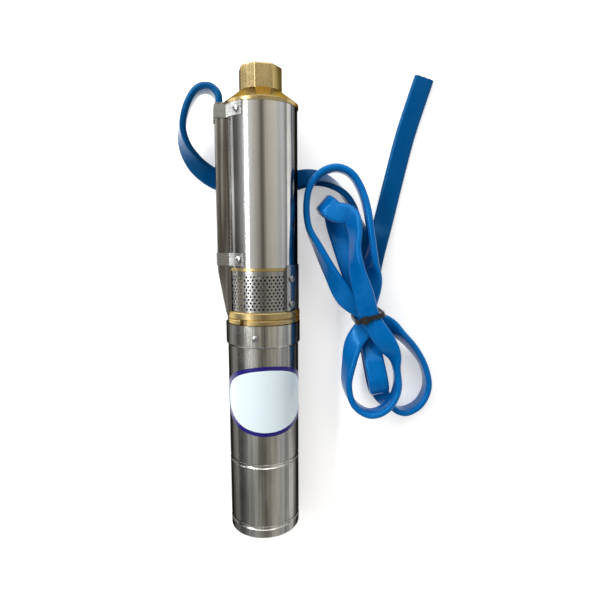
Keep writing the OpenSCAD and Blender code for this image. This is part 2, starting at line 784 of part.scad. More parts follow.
// Points of the middle line, each with the direction of the cable's width there
cable_route = [
    [-36.2, 203.3, 54.4, 0.21, 0.02, 0.98], [-37.0, 212.3, 54.4, 0.18, 0.07, 0.98],
    [-42.9, 218.8, 54.5, 0.00, 0.11, 0.99], [-52.0, 220.1, 53.5, -0.18, -0.07, 0.98],
    [-61.1, 215.7, 51.0, -0.09, -0.29, 0.95], [-69.4, 204.4, 47.0, 0.01, -0.39, 0.92],
    [-75.6, 189.6, 40.0, 0.15, -0.47, 0.87], [-77.0, 174.5, 32.0, 0.60, -0.39, 0.70],
    [-72.6, 160.3, 21.0, 0.87, 0.08, 0.49], [-63.1, 148.2, 11.5, 0.71, 0.63, 0.31],
    [-45.8, 137.8, 5.0, 0.36, 0.93, 0.06], [-22.0, 133.0, 3.6, 0.12, 0.99, 0.00],
    [4.0, 132.0, 3.6, -0.05, 1.00, 0.00], [30.0, 135.5, 3.6, -0.16, 0.99, 0.00],
    [51.2, 139.7, 6.9, -0.02, 0.94, -0.33], [66.6, 138.6, 9.9, 0.27, 0.68, -0.69],
    [82.0, 131.8, 11.3, 0.24, 0.30, -0.92], [95.3, 119.9, 11.2, 0.00, 0.00, -1.00],
    [105.5, 102.4, 11.2, -0.01, 0.02, -1.00], [112.1, 80.5, 10.1, 0.66, 0.24, -0.71],
    [117.4, 52.6, 5.5, 0.97, 0.14, -0.19], [119.1, 23.0, 4.6, 1.00, 0.01, 0.00],
    [118.0, -12.0, 4.9, 0.99, 0.10, 0.00], [126.5, -49.2, 4.0, 0.98, 0.20, 0.00],
    [131.6, -78.9, 3.7, 0.98, 0.20, 0.01], [137.2, -102.9, 7.6, 0.82, 0.41, 0.41],
    [148.5, -119.8, 11.2, 0.08, 0.25, 0.96], [164.9, -125.8, 11.2, 0.00, 0.00, 1.00],
    [182.1, -116.2, 11.2, 0.00, 0.00, 1.00], [190.8, -96.0, 11.2, 0.00, -0.01, 1.00],
    [186.5, -72.2, 11.8, 0.04, -0.09, 1.00], [172.3, -50.2, 16.0, 0.31, -0.03, 0.95],
    [154.5, -32.7, 23.5, 0.45, 0.18, 0.87], [137.9, -21.3, 27.8, 0.48, 0.83, 0.27],
    [117.0, -12.3, 26.9, 0.94, 0.33, 0.00], [122.6, 22.6, 30.0, 0.97, -0.10, 0.24],
    [121.8, 47.6, 33.0, 0.41, -0.04, 0.91], [120.2, 76.4, 33.5, 0.00, -0.01, 1.00],
    [115.5, 104.8, 33.5, 0.00, 0.00, 1.00], [107.8, 126.7, 33.5, 0.00, 0.00, 1.00],
    [97.2, 141.1, 33.5, 0.00, 0.00, 1.00], [82.4, 146.3, 33.5, 0.00, 0.00, 1.00],
    [66.6, 141.2, 33.5, 0.00, 0.00, 1.00], [55.0, 126.8, 33.5, 0.00, 0.00, 1.00],
    [51.3, 106.0, 33.5, 0.00, 0.00, 1.00], [54.0, 83.9, 33.5, 0.00, 0.00, 1.00],
    [63.6, 63.8, 33.5, 0.20, 0.10, 0.98], [77.7, 35.9, 33.5, 0.48, 0.28, 0.83],
    [94.0, 8.9, 34.5, 0.71, 0.62, 0.33], [119.0, -11.7, 34.2, 0.98, 0.20, 0.00],
    [103.6, -39.3, 35.0, 0.78, -0.30, 0.55], [97.7, -63.6, 36.0, 0.48, -0.08, 0.87],
    [95.8, -87.5, 35.0, 0.21, 0.01, 0.98], [103.8, -109.1, 35.0, 0.00, 0.00, 1.00],
    [121.7, -120.0, 35.0, 0.00, 0.00, 1.00], [140.4, -112.6, 35.0, -0.01, -0.01, 1.00],
    [151.0, -92.0, 35.5, -0.01, -0.03, 1.00], [149.1, -65.8, 36.5, 0.04, -0.16, 0.99],
    [139.0, -41.9, 44.2, 0.79, 0.38, 0.47], [120.1, -13.5, 42.9, 0.90, 0.43, 0.01],
    [110.5, 17.6, 47.2, 0.87, 0.23, 0.43], [104.5, 38.7, 47.2, 0.58, 0.17, 0.80],
    [102.0, 60.5, 44.5, 0.30, 0.17, 0.94], [102.8, 78.3, 40.5, 0.43, 0.24, 0.87],
    [97.7, 95.7, 37.0, 0.56, 0.66, 0.51], [81.9, 101.1, 33.7, 0.48, 0.88, -0.06],
    [73.9, 108.1, 29.3, 0.66, 0.75, 0.00], [70.7, 111.0, 18.7, 0.66, 0.75, 0.00],
    [73.9, 108.1, 8.1, 0.66, 0.75, 0.00], [81.9, 101.1, 3.9, 0.88, 0.47, -0.03],
    [85.4, 86.2, 6.0, 0.96, 0.28, 0.06], [91.7, 65.0, 13.0, 0.95, 0.30, 0.02],
    [100.7, 36.3, 20.3, 0.95, 0.31, 0.00], [117.0, -12.3, 19.3, 0.96, 0.28, 0.00],
    [122.5, -39.7, 22.0, 0.98, 0.18, 0.02], [126.0, -62.3, 33.5, 0.99, 0.17, 0.01],
    [128.5, -75.0, 37.4, 0.98, 0.19, 0.00], [130.2, -83.9, 38.0, 0.98, 0.19, 0.00],
    [132.0, -93.1, 34.1, 0.98, 0.19, 0.00], [132.8, -96.9, 24.6, 0.98, 0.19, 0.00],
    [132.0, -93.1, 15.2, 0.98, 0.19, 0.00], [130.2, -83.9, 11.3, 0.98, 0.19, 0.00],
    [128.3, -74.1, 11.4, 0.98, 0.19, 0.00], [125.3, -58.4, 11.6, 0.98, 0.18, 0.00],
    [117.0, -12.3, 12.1, 1.00, 0.04, 0.00], [122.0, 17.9, 12.6, 0.99, -0.15, -0.02],
    [125.5, 44.9, 14.6, 0.98, -0.17, 0.05], [130.6, 67.1, 13.6, 0.96, -0.23, 0.13],
    [137.3, 90.5, 8.2, 0.96, -0.24, 0.11], [143.2, 112.8, 4.4, 0.97, -0.24, 0.05],
    [148.7, 136.0, 3.6, 0.97, -0.24, 0.01], [161.6, 187.9, 3.6, 0.96, -0.28, 0.00],
    [180.5, 246.6, 3.6, 0.95, -0.31, 0.00]
];

// The first points follow the guard when the sizes change
exit_drift = cable_exit - [cable_route[0][0], cable_route[0][1], cable_route[0][2]];
last_point = len(cable_route) - 1;
function on_route(i) = let (p = cable_route[max(0, min(last_point, i))])
    [p[0], p[1], p[2]] + exit_drift * max(0, 1 - i / 10);
function width_at(i) = let (p = cable_route[i]) [p[3], p[4], p[5]];
function unit(v) = v / norm(v);

function cable_ring(i) = let (
        along = i == 0 ? [0, cos(lean), sin(lean)]
            : unit(on_route(min(i + 1, last_point)) - on_route(i - 1)),
        hint = width_at(i),
        side = unit(hint - (hint * along) * along),
        face = cross(along, side),
        w = cable_w / 2,
        t = cable_t / 2,
        c = cable_corner
    ) [
        for (q = [[w - c, -t], [w, c - t], [w, t - c], [w - c, t],
            [c - w, t], [-w, t - c], [-w, c - t], [c - w, -t]])
            on_route(i) + side * q[0] + face * q[1]
    ];

module cable() {
    color("#0a5fae") polyhedron(
        points = [for (i = [0 : last_point]) each cable_ring(i)],
        faces = concat(
            [[0, 1, 2, 3, 4, 5, 6, 7]],
            [[for (k = [7 : -1 : 0]) last_point * 8 + k]],
            [for (i = [0 : last_point - 1], k = [0 : 7]) let (a = i * 8 + k, b = i * 8 + (k + 1) % 8)
                each [[a, a + 8, b], [b, a + 8, b + 8]]]
        ),
        convexity = 10
    );
}

// Black strap round the six runs of the hank, with its lock on top
module cable_tie() {
    band = 1.2;
    tie_w = 5;
    left = -14.2;
    right = 16.3;
    top = 47.6;
    color("#151515") translate([118, -12, 0]) rotate([0, 0, 16.6]) {
        translate([0, tie_w / 2, 0]) rotate([90, 0, 0]) linear_extrude(tie_w) difference() {
            rounded_box(left - band, right + band, 0, top + band, 4);
            rounded_box(left, right, band, top, 3);
        }
        translate([-9, -4, top + band - 0.2]) cube([7, 8, 4]);
    }
}

module rounded_box(x0, x1, y0, y1, r) {
    translate([x0 + r, y0]) square([x1 - x0 - 2 * r, y1 - y0]);
    translate([x0, y0 + r]) square([x1 - x0, y1 - y0 - 2 * r]);
    for (x = [x0 + r, x1 - r], y = [y0 + r, y1 - r]) translate([x, y]) circle(r = r, $fn = 32);
}

laid() {
    motor_tube();
    collar_screws();
    bottom_cap();
    filler_plug();
    pressure_diaphragm();
    lower_bearing_housing();
    lower_bearing_outer();
    lower_bearing_balls();
    lower_bearing_inner();
    stator_core();
    stator_winding();
    motor_shaft();
    rotor_core();
    rotor_magnets();
    upper_bearing_inner();
    upper_bearing_balls();
    upper_bearing_outer();
    motor_head();
    seal_seat();
    rotating_seal();
    sand_slinger();
    intake_body();
    intake_seal();
    strainer_screen();
    strainer_plate();
    strainer_screws();
    casing_tube();
    outlet_head();
    outlet_seal();
    stator_sleeve();
    rubber_stator();
    screw_rotor();
    connecting_rod();
    drive_coupling();
    cable_guard();
    upper_guard_strap();
    lower_guard_strap();
    guard_screws();
    cable_gland();
    guarded_cable();
}
cable();
cable_tie();
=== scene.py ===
"""Dressed scene of a borehole submersible pump that lies beside its tied flat cable."""

import math

import bpy
import numpy as np
from mathutils import Matrix, Vector


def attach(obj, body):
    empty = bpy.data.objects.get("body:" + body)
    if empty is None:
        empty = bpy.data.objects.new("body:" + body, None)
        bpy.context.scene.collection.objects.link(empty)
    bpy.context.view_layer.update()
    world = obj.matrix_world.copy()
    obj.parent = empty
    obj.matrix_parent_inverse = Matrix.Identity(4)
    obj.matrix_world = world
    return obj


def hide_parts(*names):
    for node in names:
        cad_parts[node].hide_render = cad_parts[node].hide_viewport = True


bl_info = {
    "name": "Borehole Pump",
    "version": (1, 0, 0),
    "blender": (4, 5, 0),
    "location": "View3D > Sidebar > Borehole Pump",
    "description": "Adds the cable, outlet head, name plate, finishes and studio of a borehole pump",
    "category": "Object",
}

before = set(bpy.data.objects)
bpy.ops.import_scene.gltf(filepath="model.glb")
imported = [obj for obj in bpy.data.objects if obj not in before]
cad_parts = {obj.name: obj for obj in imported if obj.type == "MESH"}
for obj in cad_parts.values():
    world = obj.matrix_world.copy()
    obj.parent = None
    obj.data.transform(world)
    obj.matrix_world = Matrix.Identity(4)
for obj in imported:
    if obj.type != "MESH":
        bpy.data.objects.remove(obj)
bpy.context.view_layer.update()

MM = 0.001
PUMP = "pump"

# How the pump lies: its own upright frame, in millimetres, turned on its back and leaning by a degree
LEAN = math.radians(1.1009825)
REST = Vector((4.91159, -240.95551, 37.46425))

# The camera in the upright frame: its place in millimetres, its turns in radians and its lens
CAMERA_SPOT = (39.4526, -490.4247, 311.2074)
CAMERA_PITCH, CAMERA_ROLL = 0.1268, -0.0022
CAMERA_LENS, CAMERA_SENSOR = 27.84, 36.0

# Studio walls: tone by the angle round the pump's length, in degrees from straight up to the right
WALL_BANDS = (
    (-105, (0.16, 0.16, 0.16)), (-72, (0.22, 0.22, 0.22)), (-56, (0.48, 0.48, 0.48)),
    (-48, (0.84, 0.85, 0.86)), (-34, (0.88, 0.89, 0.88)), (-19, (0.68, 0.67, 0.63)),
    (-4, (0.44, 0.41, 0.35)), (5, (0.15, 0.14, 0.12)), (10, (0.2, 0.185, 0.155)), (20, (0.6, 0.56, 0.48)),
    (36, (0.72, 0.68, 0.59)), (50, (0.76, 0.74, 0.68)), (62, (0.6, 0.61, 0.61)), (75, (0.76, 0.78, 0.81)),
    (86, (0.4, 0.4, 0.4)), (105, (0.12, 0.12, 0.12)),
)

# Past the pump's ends the walls are plain: from where, by the direction's Y, and their tone
PLAIN_FROM, PLAIN_WHOLLY = 0.58, 0.82
PLAIN_WALL = (0.7, 0.7, 0.7)

# Floor in metres: its size, how far it lies under the pump, and how brightly it is seen
FLOOR_SIZE, FLOOR_DROP, FLOOR_GLOW = 8.0, 0.0003, 0.4

# Lamps: name, place, aim, length and width in metres, power in watts
LAMPS = (
    ("key_strip", (-0.94, 0.6, 1.11), (0.0, 0.6, 0.0), 1.5, 0.17, 14.0),
    ("head_side", (-1.0, 0.78, 0.2), (0.0, 0.23, 0.03), 0.5, 0.3, 4.0),
    ("head_panel", (0.1, 1.6, 1.3), (0.0, 0.0, 0.0), 2.0, 1.2, 21.0),
)

# Motor tube and the name plate on it: millimetres, and degrees round the axis
TUBE_R = 37.5
PLATE_MIDDLE, PLATE_SIDE = 149.0, 280.5
PLATE_GAP, PLATE_THICKNESS = 0.03, 0.25
PLATE_RINGS = (0.75, 0.6, 0.45, 0.3, 0.15, 0.05)

# Outlet head in millimetres: outlines as radius and height, above the lip and above the cone's top
HEAD_LIP, HEAD_TOP = 442.5, 482.0
HEAD_SIDES, BORE_SIDES, THREAD_STEPS = 160, 128, 72
LIP_OUTLINE = ((35.2, -18.0), (35.25, 0.0), (37.75, 0.0), (38.25, 0.5), (38.25, 3.2), (37.5, 4.0))
CONE_OUTLINE = ((22.4, -0.9), (21.2, 0.0))
HEAD_BORE_R, THROAT_STEP, MOUTH_STEP = 29.25, 1.7, 1.2
FLATS_TURN = math.radians(36.5)
FLATS_CHAMFER, CHAMFER_TAPER, CORNER_BEVEL = 0.8, 0.962, 0.6
THREAD_PITCH, THREAD_TURNS = 2.309, 7
THREAD_DEPTH, THREAD_LENGTH, THREAD_START = 1.45, 20.0, 18.0

# The cable's cut cores: name, place across the cable in metres and colour of the insulation
CORES = (
    ("brown", -0.0058, (0.12, 0.035, 0.015)),
    ("black", 0.0, (0.012, 0.012, 0.013)),
    ("grey", 0.0058, (0.2, 0.2, 0.21)),
)
CORE_R, CORE_LENGTH, CORE_SUNK = 0.0023, 0.004, 0.0014
INSULATION, WIRE_LENGTH, WIRE_ROUND, WIRE_SHOWN = 0.0009, 0.0008, 0.0002, 0.0006

# Directions of tool lines as noise scales per metre, and the dark tint of bare steel at a grazing angle
ALONG_TUBE, ROUND_TUBE = (700.0, 9.0, 700.0), (30.0, 2600.0, 30.0)
DARK_EDGE = (0.12, 0.12, 0.12)

# The cable's middle line in millimetres, each point with the direction of the cable's width
CABLE_ROUTE = (
    (-36, 203.3, 54.7, 0.21, 0.02, 0.98), (-36.8, 212.3, 54.7, 0.18, 0.07, 0.98),
    (-42.8, 218.8, 54.7, 0, 0.11, 0.99), (-51.9, 220.1, 53.7, -0.18, -0.07, 0.98),
    (-61, 215.7, 51.2, -0.09, -0.29, 0.95), (-69.3, 204.4, 47.2, 0.01, -0.39, 0.92),
    (-75.5, 189.6, 40.1, 0.15, -0.47, 0.87), (-76.9, 174.5, 32.1, 0.6, -0.39, 0.7),
    (-72.6, 160.3, 21.1, 0.87, 0.08, 0.49), (-63.1, 148.2, 11.5, 0.71, 0.63, 0.31),
    (-45.8, 137.8, 5, 0.36, 0.93, 0.06), (-22, 133, 3.6, 0.12, 0.99, 0),
    (4, 132, 3.6, -0.05, 1, 0), (30, 135.5, 3.6, -0.16, 0.99, 0),
    (51.2, 139.7, 6.9, -0.02, 0.94, -0.33), (66.6, 138.6, 9.9, 0.27, 0.68, -0.69),
    (82, 131.8, 11.3, 0.24, 0.3, -0.92), (95.3, 119.9, 11.2, 0, 0, -1),
    (105.5, 102.4, 11.2, -0.01, 0.02, -1), (112.1, 80.5, 10.1, 0.66, 0.24, -0.71),
    (117.4, 52.6, 5.5, 0.97, 0.14, -0.19), (119.1, 23, 4.6, 1, 0.01, 0),
    (118, -12, 4.9, 0.99, 0.1, 0), (126.5, -49.2, 4, 0.98, 0.2, 0),
    (131.6, -78.9, 3.7, 0.98, 0.2, 0.01), (137.2, -102.9, 7.6, 0.82, 0.41, 0.41),
    (148.5, -119.8, 11.2, 0.08, 0.25, 0.96), (164.9, -125.8, 11.2, 0, 0, 1),
    (182.1, -116.2, 11.2, 0, 0, 1), (190.8, -96, 11.2, 0, -0.01, 1),
    (186.5, -72.2, 11.8, 0.04, -0.09, 1), (172.3, -50.2, 16, 0.31, -0.03, 0.95),
    (154.5, -32.7, 23.5, 0.45, 0.18, 0.87), (137.9, -21.3, 27.8, 0.48, 0.83, 0.27),
    (117, -12.3, 26.9, 0.94, 0.33, 0), (122.6, 22.6, 30, 0.97, -0.1, 0.24),
    (121.8, 47.6, 33, 0.41, -0.04, 0.91), (120.2, 76.4, 33.5, 0, -0.01, 1),
    (115.5, 104.8, 33.5, 0, 0, 1), (107.8, 126.7, 33.5, 0, 0, 1),
    (97.2, 141.1, 33.5, 0, 0, 1), (82.4, 146.3, 33.5, 0, 0, 1),
    (66.6, 141.2, 33.5, 0, 0, 1), (55, 126.8, 33.5, 0, 0, 1),
    (51.3, 106, 33.5, 0, 0, 1), (54, 83.9, 33.5, 0, 0, 1),
    (63.6, 63.8, 33.5, 0.2, 0.1, 0.98), (77.7, 35.9, 33.5, 0.48, 0.28, 0.83),
    (94, 8.9, 34.5, 0.71, 0.62, 0.33), (119, -11.7, 34.2, 0.98, 0.2, 0),
    (103.6, -39.3, 35, 0.78, -0.3, 0.55), (97.7, -63.6, 36, 0.48, -0.08, 0.87),
    (95.8, -87.5, 35, 0.21, 0.01, 0.98), (103.8, -109.1, 35, 0, 0, 1),
    (121.7, -120, 35, 0, 0, 1), (140.4, -112.6, 35, -0.01, -0.01, 1),
    (151, -92, 35.5, -0.01, -0.03, 1), (149.1, -65.8, 36.5, 0.04, -0.16, 0.99),
    (139, -41.9, 44.2, 0.79, 0.38, 0.47), (120.1, -13.5, 42.9, 0.9, 0.43, 0.01),
    (110.5, 17.6, 47.2, 0.87, 0.23, 0.43), (104.5, 38.7, 47.2, 0.58, 0.17, 0.8),
    (102, 60.5, 44.5, 0.3, 0.17, 0.94), (102.8, 78.3, 40.5, 0.43, 0.24, 0.87),
    (97.7, 95.7, 37, 0.56, 0.66, 0.51), (81.9, 101.1, 33.7, 0.48, 0.88, -0.06),
    (73.9, 108.1, 29.3, 0.66, 0.75, 0), (70.7, 111, 18.7, 0.66, 0.75, 0),
    (73.9, 108.1, 8.1, 0.66, 0.75, 0), (81.9, 101.1, 3.9, 0.88, 0.47, -0.03),
    (85.4, 86.2, 6, 0.96, 0.28, 0.06), (91.7, 65, 13, 0.95, 0.3, 0.02),
    (100.7, 36.3, 20.3, 0.95, 0.31, 0), (117, -12.3, 19.3, 0.96, 0.28, 0),
    (122.5, -39.7, 22, 0.98, 0.18, 0.02), (126, -62.3, 33.5, 0.99, 0.17, 0.01),
    (128.5, -75, 37.4, 0.98, 0.19, 0), (130.2, -83.9, 38, 0.98, 0.19, 0),
    (132, -93.1, 34.1, 0.98, 0.19, 0), (132.8, -96.9, 24.6, 0.98, 0.19, 0),
    (132, -93.1, 15.2, 0.98, 0.19, 0), (130.2, -83.9, 11.3, 0.98, 0.19, 0),
    (128.3, -74.1, 11.4, 0.98, 0.19, 0), (125.3, -58.4, 11.6, 0.98, 0.18, 0),
    (117, -12.3, 12.1, 1, 0.04, 0), (122, 17.9, 12.6, 0.99, -0.15, -0.02),
    (125.5, 44.9, 14.6, 0.98, -0.17, 0.05), (130.6, 67.1, 13.6, 0.96, -0.23, 0.13),
    (137.3, 90.5, 8.2, 0.96, -0.24, 0.11), (143.2, 112.8, 4.4, 0.97, -0.24, 0.05),
    (148.7, 136, 3.6, 0.97, -0.24, 0.01), (161.6, 187.9, 3.6, 0.96, -0.28, 0),
    (180.5, 246.6, 3.6, 0.95, -0.31, 0),
)


def laid(x, y, z):
    """A point of the upright pump, in millimetres, to its place in the scene, in metres."""
    s, c = math.sin(LEAN), math.cos(LEAN)
    return Vector((x + REST.x, y * s + z * c + REST.y, z * s - y * c + REST.z)) * MM


def on_tube(angle, height, radius):
    """A point on a cylinder round the pump's axis, from an angle in degrees and a height."""
    a = math.radians(angle)
    return laid(radius * math.cos(a), radius * math.sin(a), height)


# Mesh helpers


def deselect():
    """Leaves nothing selected, so that an operator acts on the new piece alone."""
    if bpy.context.object and bpy.context.object.mode != "OBJECT":
        bpy.ops.object.mode_set(mode="OBJECT")
    bpy.ops.object.select_all(action="DESELECT")


def take(obj):
    """Makes one object the only selected and active one."""
    deselect()
    obj.select_set(True)
    bpy.context.view_layer.objects.active = obj
    return obj


def named(name):
    """Names the object that an operator has just added, and its mesh."""
    obj = bpy.context.object
    obj.name = name
    if obj.data:
        obj.data.name = name
    return obj


def apply_modifiers(obj):
    """Applies every modifier of an object, in order."""
    take(obj)
    for modifier in list(obj.modifiers):
        bpy.ops.object.modifier_apply(modifier=modifier.name)


def settle(obj):
    """Puts the object's place into its mesh, and leaves it the only selected object."""
    take(obj)
    bpy.ops.object.transform_apply(location=True, rotation=True, scale=True)


def face_out(obj):
    """Merges double points and turns all faces outward."""
    take(obj)
    bpy.ops.object.mode_set(mode="EDIT")
    bpy.ops.mesh.select_all(action="SELECT")
    bpy.ops.mesh.remove_doubles(threshold=0.000002)
    bpy.ops.mesh.normals_make_consistent(inside=False)
    bpy.ops.object.mode_set(mode="OBJECT")


def pick_top(obj):
    """Goes into edit mode with only the faces that look up selected."""
    bpy.ops.object.mode_set(mode="EDIT")
    bpy.ops.mesh.select_all(action="DESELECT")
    bpy.ops.object.mode_set(mode="OBJECT")
    for polygon in obj.data.polygons:
        polygon.select = polygon.normal.z > 0.9
    bpy.ops.object.mode_set(mode="EDIT")


def stand_up():
    """The matrix that carries the upright pump's frame, in metres, to where the pump lies."""
    origin = laid(0, 0, 0)
    turn = Matrix([(laid(*step) - origin) / MM for step in ((1, 0, 0), (0, 1, 0), (0, 0, 1))]).transposed()
    return Matrix.Translation(origin) @ turn.to_4x4()


def turned_solid(name, profile, sides):
    """A closed turned solid round the upright axis, from radii and heights in millimetres."""
    deselect()
    radius, height = profile[0]
    bpy.ops.mesh.primitive_circle_add(vertices=sides, radius=radius * MM, fill_type="NGON",
                                      location=(0, 0, height * MM))
    obj = named(name)
    settle(obj)
    bpy.ops.object.mode_set(mode="EDIT")
    bpy.ops.mesh.select_all(action="SELECT")
    for next_radius, next_height in profile[1:]:
        scale = next_radius / radius
        bpy.ops.mesh.extrude_edges_move(TRANSFORM_OT_translate={"value": (0, 0, (next_height - height) * MM)})
        bpy.ops.transform.resize(value=(scale, scale, 1.0))
        radius, height = next_radius, next_height
    bpy.ops.mesh.edge_face_add()
    bpy.ops.object.mode_set(mode="OBJECT")
    face_out(obj)
    return obj


def cut_or_join(obj, other, operation):
    """Applies a Boolean of one solid on another and removes the second."""
    step = obj.modifiers.new(operation.lower(), "BOOLEAN")
    step.operation = operation
    step.object = other
    step.solver = "EXACT"
    apply_modifiers(obj)
    bpy.data.objects.remove(other)


# Cable route


def catmull(points, steps):
    """Samples a smooth curve through the rows of an array."""
    out = []
    last = len(points) - 1
    for i in range(last):
        a, b, c, d = (points[min(max(k, 0), last)] for k in (i - 1, i, i + 1, i + 2))
        for t in np.arange(steps) / steps:
            out.append(0.5 * (2 * b + (c - a) * t + (2 * a - 5 * b + 4 * c - d) * t ** 2
                              + (3 * b - a - 3 * c + d) * t ** 3))
    out.append(points[last])
    return np.array(out)


def cable_frames(width, thick, steps=7):
    """Middle points of the cable with the directions of its width and of its face, in metres."""
    rows = catmull(np.array(CABLE_ROUTE, dtype=float), steps)
    mid, hint = rows[:, :3] * MM, rows[:, 3:]
    along = np.gradient(mid, axis=0)
    along[0] = laid(0, 0, 1) - laid(0, 0, 0)
    along /= np.linalg.norm(along, axis=1)[:, None]
    side = hint - (hint * along).sum(axis=1)[:, None] * along
    side /= np.linalg.norm(side, axis=1)[:, None]
    face = np.cross(along, side)
    low = np.abs(side[:, 2]) * width * 0.48 + np.abs(face[:, 2]) * thick / 2
    mid[:, 2] = np.maximum(mid[:, 2], low)
    return mid, along, side, face


def flat_section(width, thick, corner_steps=6):
    """Outline of the flat cable: two half-round edges, closed, in width and face."""
    r = thick / 2
    out = []
    for end in (1, -1):
        for k in range(corner_steps * 2 + 1):
            a = -math.pi / 2 + math.pi * k / (corner_steps * 2)
            out.append((end * (width / 2 - r + r * math.cos(a)), end * r * math.sin(a)))
    return out


# Shader node groups


def new_group(name, inputs, outputs):
    """An empty shader node group with its sockets, and its input and output nodes.

    The first input is the place on the surface, and every output is a plain value.
    """
    tree = bpy.data.node_groups.new(name, "ShaderNodeTree")
    for label, value in (("Vector", (0, 0, 0)), *inputs):
        kind = "NodeSocketVector" if isinstance(value, tuple) else "NodeSocketFloat"
        socket = tree.interface.new_socket(label, in_out="INPUT", socket_type=kind)
        socket.default_value = value
    for label in outputs:
        tree.interface.new_socket(label, in_out="OUTPUT", socket_type="NodeSocketFloat")
    return tree, tree.nodes.new("NodeGroupInput"), tree.nodes.new("NodeGroupOutput")


def ranged(tree, source, low, high, to_low=0.0, to_high=1.0):
    """A clamped Map Range node on a value."""
    node = tree.nodes.new("ShaderNodeMapRange")
    node.inputs["From Min"].default_value = low
    node.inputs["From Max"].default_value = high
    node.inputs["To Min"].default_value = to_low
    node.inputs["To Max"].default_value = to_high
    tree.links.new(source, node.inputs["Value"])
    return node.outputs["Result"]


def computed(tree, operation, *sources):
    """A Math node on one or more values."""
    node = tree.nodes.new("ShaderNodeMath")
    node.operation = operation
    for source, socket in zip(sources, node.inputs):
        tree.links.new(source, socket)
    return node.outputs["Value"]


def tool_lines_group():
    """Fine lines left by drawing, brushing or turning, stretched along one direction."""
    tree, start, end = new_group(
        "Tool Lines", (("Stretch", (900, 20, 900)), ("Detail", 3.0)), ("Tone", "Height"))
    scaled = tree.nodes.new("ShaderNodeVectorMath")
    scaled.operation = "MULTIPLY"
    noise = tree.nodes.new("ShaderNodeTexNoise")
    noise.inputs["Scale"].default_value = 1.0
    noise.inputs["Roughness"].default_value = 0.62
    tree.links.new(start.outputs["Vector"], scaled.inputs[0])
    tree.links.new(start.outputs["Stretch"], scaled.inputs[1])
    tree.links.new(scaled.outputs["Vector"], noise.inputs["Vector"])
    tree.links.new(start.outputs["Detail"], noise.inputs["Detail"])
    tree.links.new(ranged(tree, noise.outputs["Fac"], 0.3, 0.7), end.inputs["Tone"])
    tree.links.new(noise.outputs["Fac"], end.inputs["Height"])
    return tree


def marks_group():
    """Soft patches where hands, water or dust have dulled a surface."""
    tree, start, end = new_group("Handling Marks", (("Patch Scale", 40.0), ("Cover", 0.5)), ("Mask",))
    noise = tree.nodes.new("ShaderNodeTexNoise")
    noise.inputs["Detail"].default_value = 5.0
    noise.inputs["Roughness"].default_value = 0.6
    tree.links.new(start.outputs["Vector"], noise.inputs["Vector"])
    tree.links.new(start.outputs["Patch Scale"], noise.inputs["Scale"])
    added = computed(tree, "ADD", noise.outputs["Fac"], start.outputs["Cover"])
    tree.links.new(ranged(tree, added, 0.9, 1.25), end.inputs["Mask"])
    return tree


def grain_group():
    """Fine pits and grains of castings, moulded rubber and pressed carbon."""
    tree, start, end = new_group("Fine Grain", (("Grain Scale", 900.0),), ("Tone", "Height"))
    cells = tree.nodes.new("ShaderNodeTexVoronoi")
    noise = tree.nodes.new("ShaderNodeTexNoise")
    noise.inputs["Detail"].default_value = 4.0
    for node in (cells, noise):
        tree.links.new(start.outputs["Vector"], node.inputs["Vector"])
        tree.links.new(start.outputs["Grain Scale"], node.inputs["Scale"])
    tree.links.new(ranged(tree, noise.outputs["Fac"], 0.35, 0.65), end.inputs["Tone"])
    tree.links.new(cells.outputs["Distance"], end.inputs["Height"])
    return tree


def painted_reflection_group():
    """Painted dark reflection on the flanks and the underside of the lying tubes, uneven along its upper
    edge.

    It stands in for dark surroundings that the steel would mirror, and reaches higher on the guard's side,
    where it is painted shade by the guard.
    """
    tree, start, end = new_group(
        "Painted Flank Reflection", (("Low", 0.012), ("High", 0.028), ("Guard Side", 0.0)), ("Mask",))
    up = (0.0, -math.sin(LEAN), math.cos(LEAN))
    above = tree.nodes.new("ShaderNodeVectorMath")
    above.operation = "DOT_PRODUCT"
    above.inputs[1].default_value = up
    tree.links.new(start.outputs["Vector"], above.inputs[0])
    noise = tree.nodes.new("ShaderNodeTexNoise")
    noise.inputs["Scale"].default_value = 14.0
    noise.inputs["Detail"].default_value = 4.0
    tree.links.new(start.outputs["Vector"], noise.inputs["Vector"])
    axis, uneven = laid(0, 0, 0).dot(Vector(up)), 0.003
    offset = ranged(tree, noise.outputs["Fac"], 0.3, 0.7, -axis - uneven, -axis + uneven)
    height = computed(tree, "ADD", above.outputs["Value"], offset)
    place = tree.nodes.new("ShaderNodeSeparateXYZ")
    tree.links.new(start.outputs["Vector"], place.inputs["Vector"])
    # Painted shade by the guard: on the guard's side the painted dark reflection reaches higher.
    middle = REST.x * MM
    across = ranged(tree, place.outputs["X"], middle - 1.0, middle, -1.0, 0.0)
    lowered = computed(tree, "MULTIPLY_ADD", across, start.outputs["Guard Side"], height)
    span = tree.nodes.new("ShaderNodeMapRange")
    span.interpolation_type = "SMOOTHSTEP"
    span.inputs["To Min"].default_value = 1.0
    span.inputs["To Max"].default_value = 0.0
    tree.links.new(lowered, span.inputs["Value"])
    tree.links.new(start.outputs["Low"], span.inputs["From Min"])
    tree.links.new(start.outputs["High"], span.inputs["From Max"])
    tree.links.new(span.outputs["Result"], end.inputs["Mask"])
    return tree


# Finishes


def shade(colour, share):
    """A colour made darker or lighter by one share."""
    return tuple(share * v for v in colour)


def place_group(tree, name, vector, **values):
    """Puts a built group into a material with its own values."""
    node = tree.nodes.new("ShaderNodeGroup")
    node.node_tree = bpy.data.node_groups[name]
    tree.links.new(vector, node.inputs["Vector"])
    for label, value in values.items():
        node.inputs[label.replace("_", " ")].default_value = value
    return node


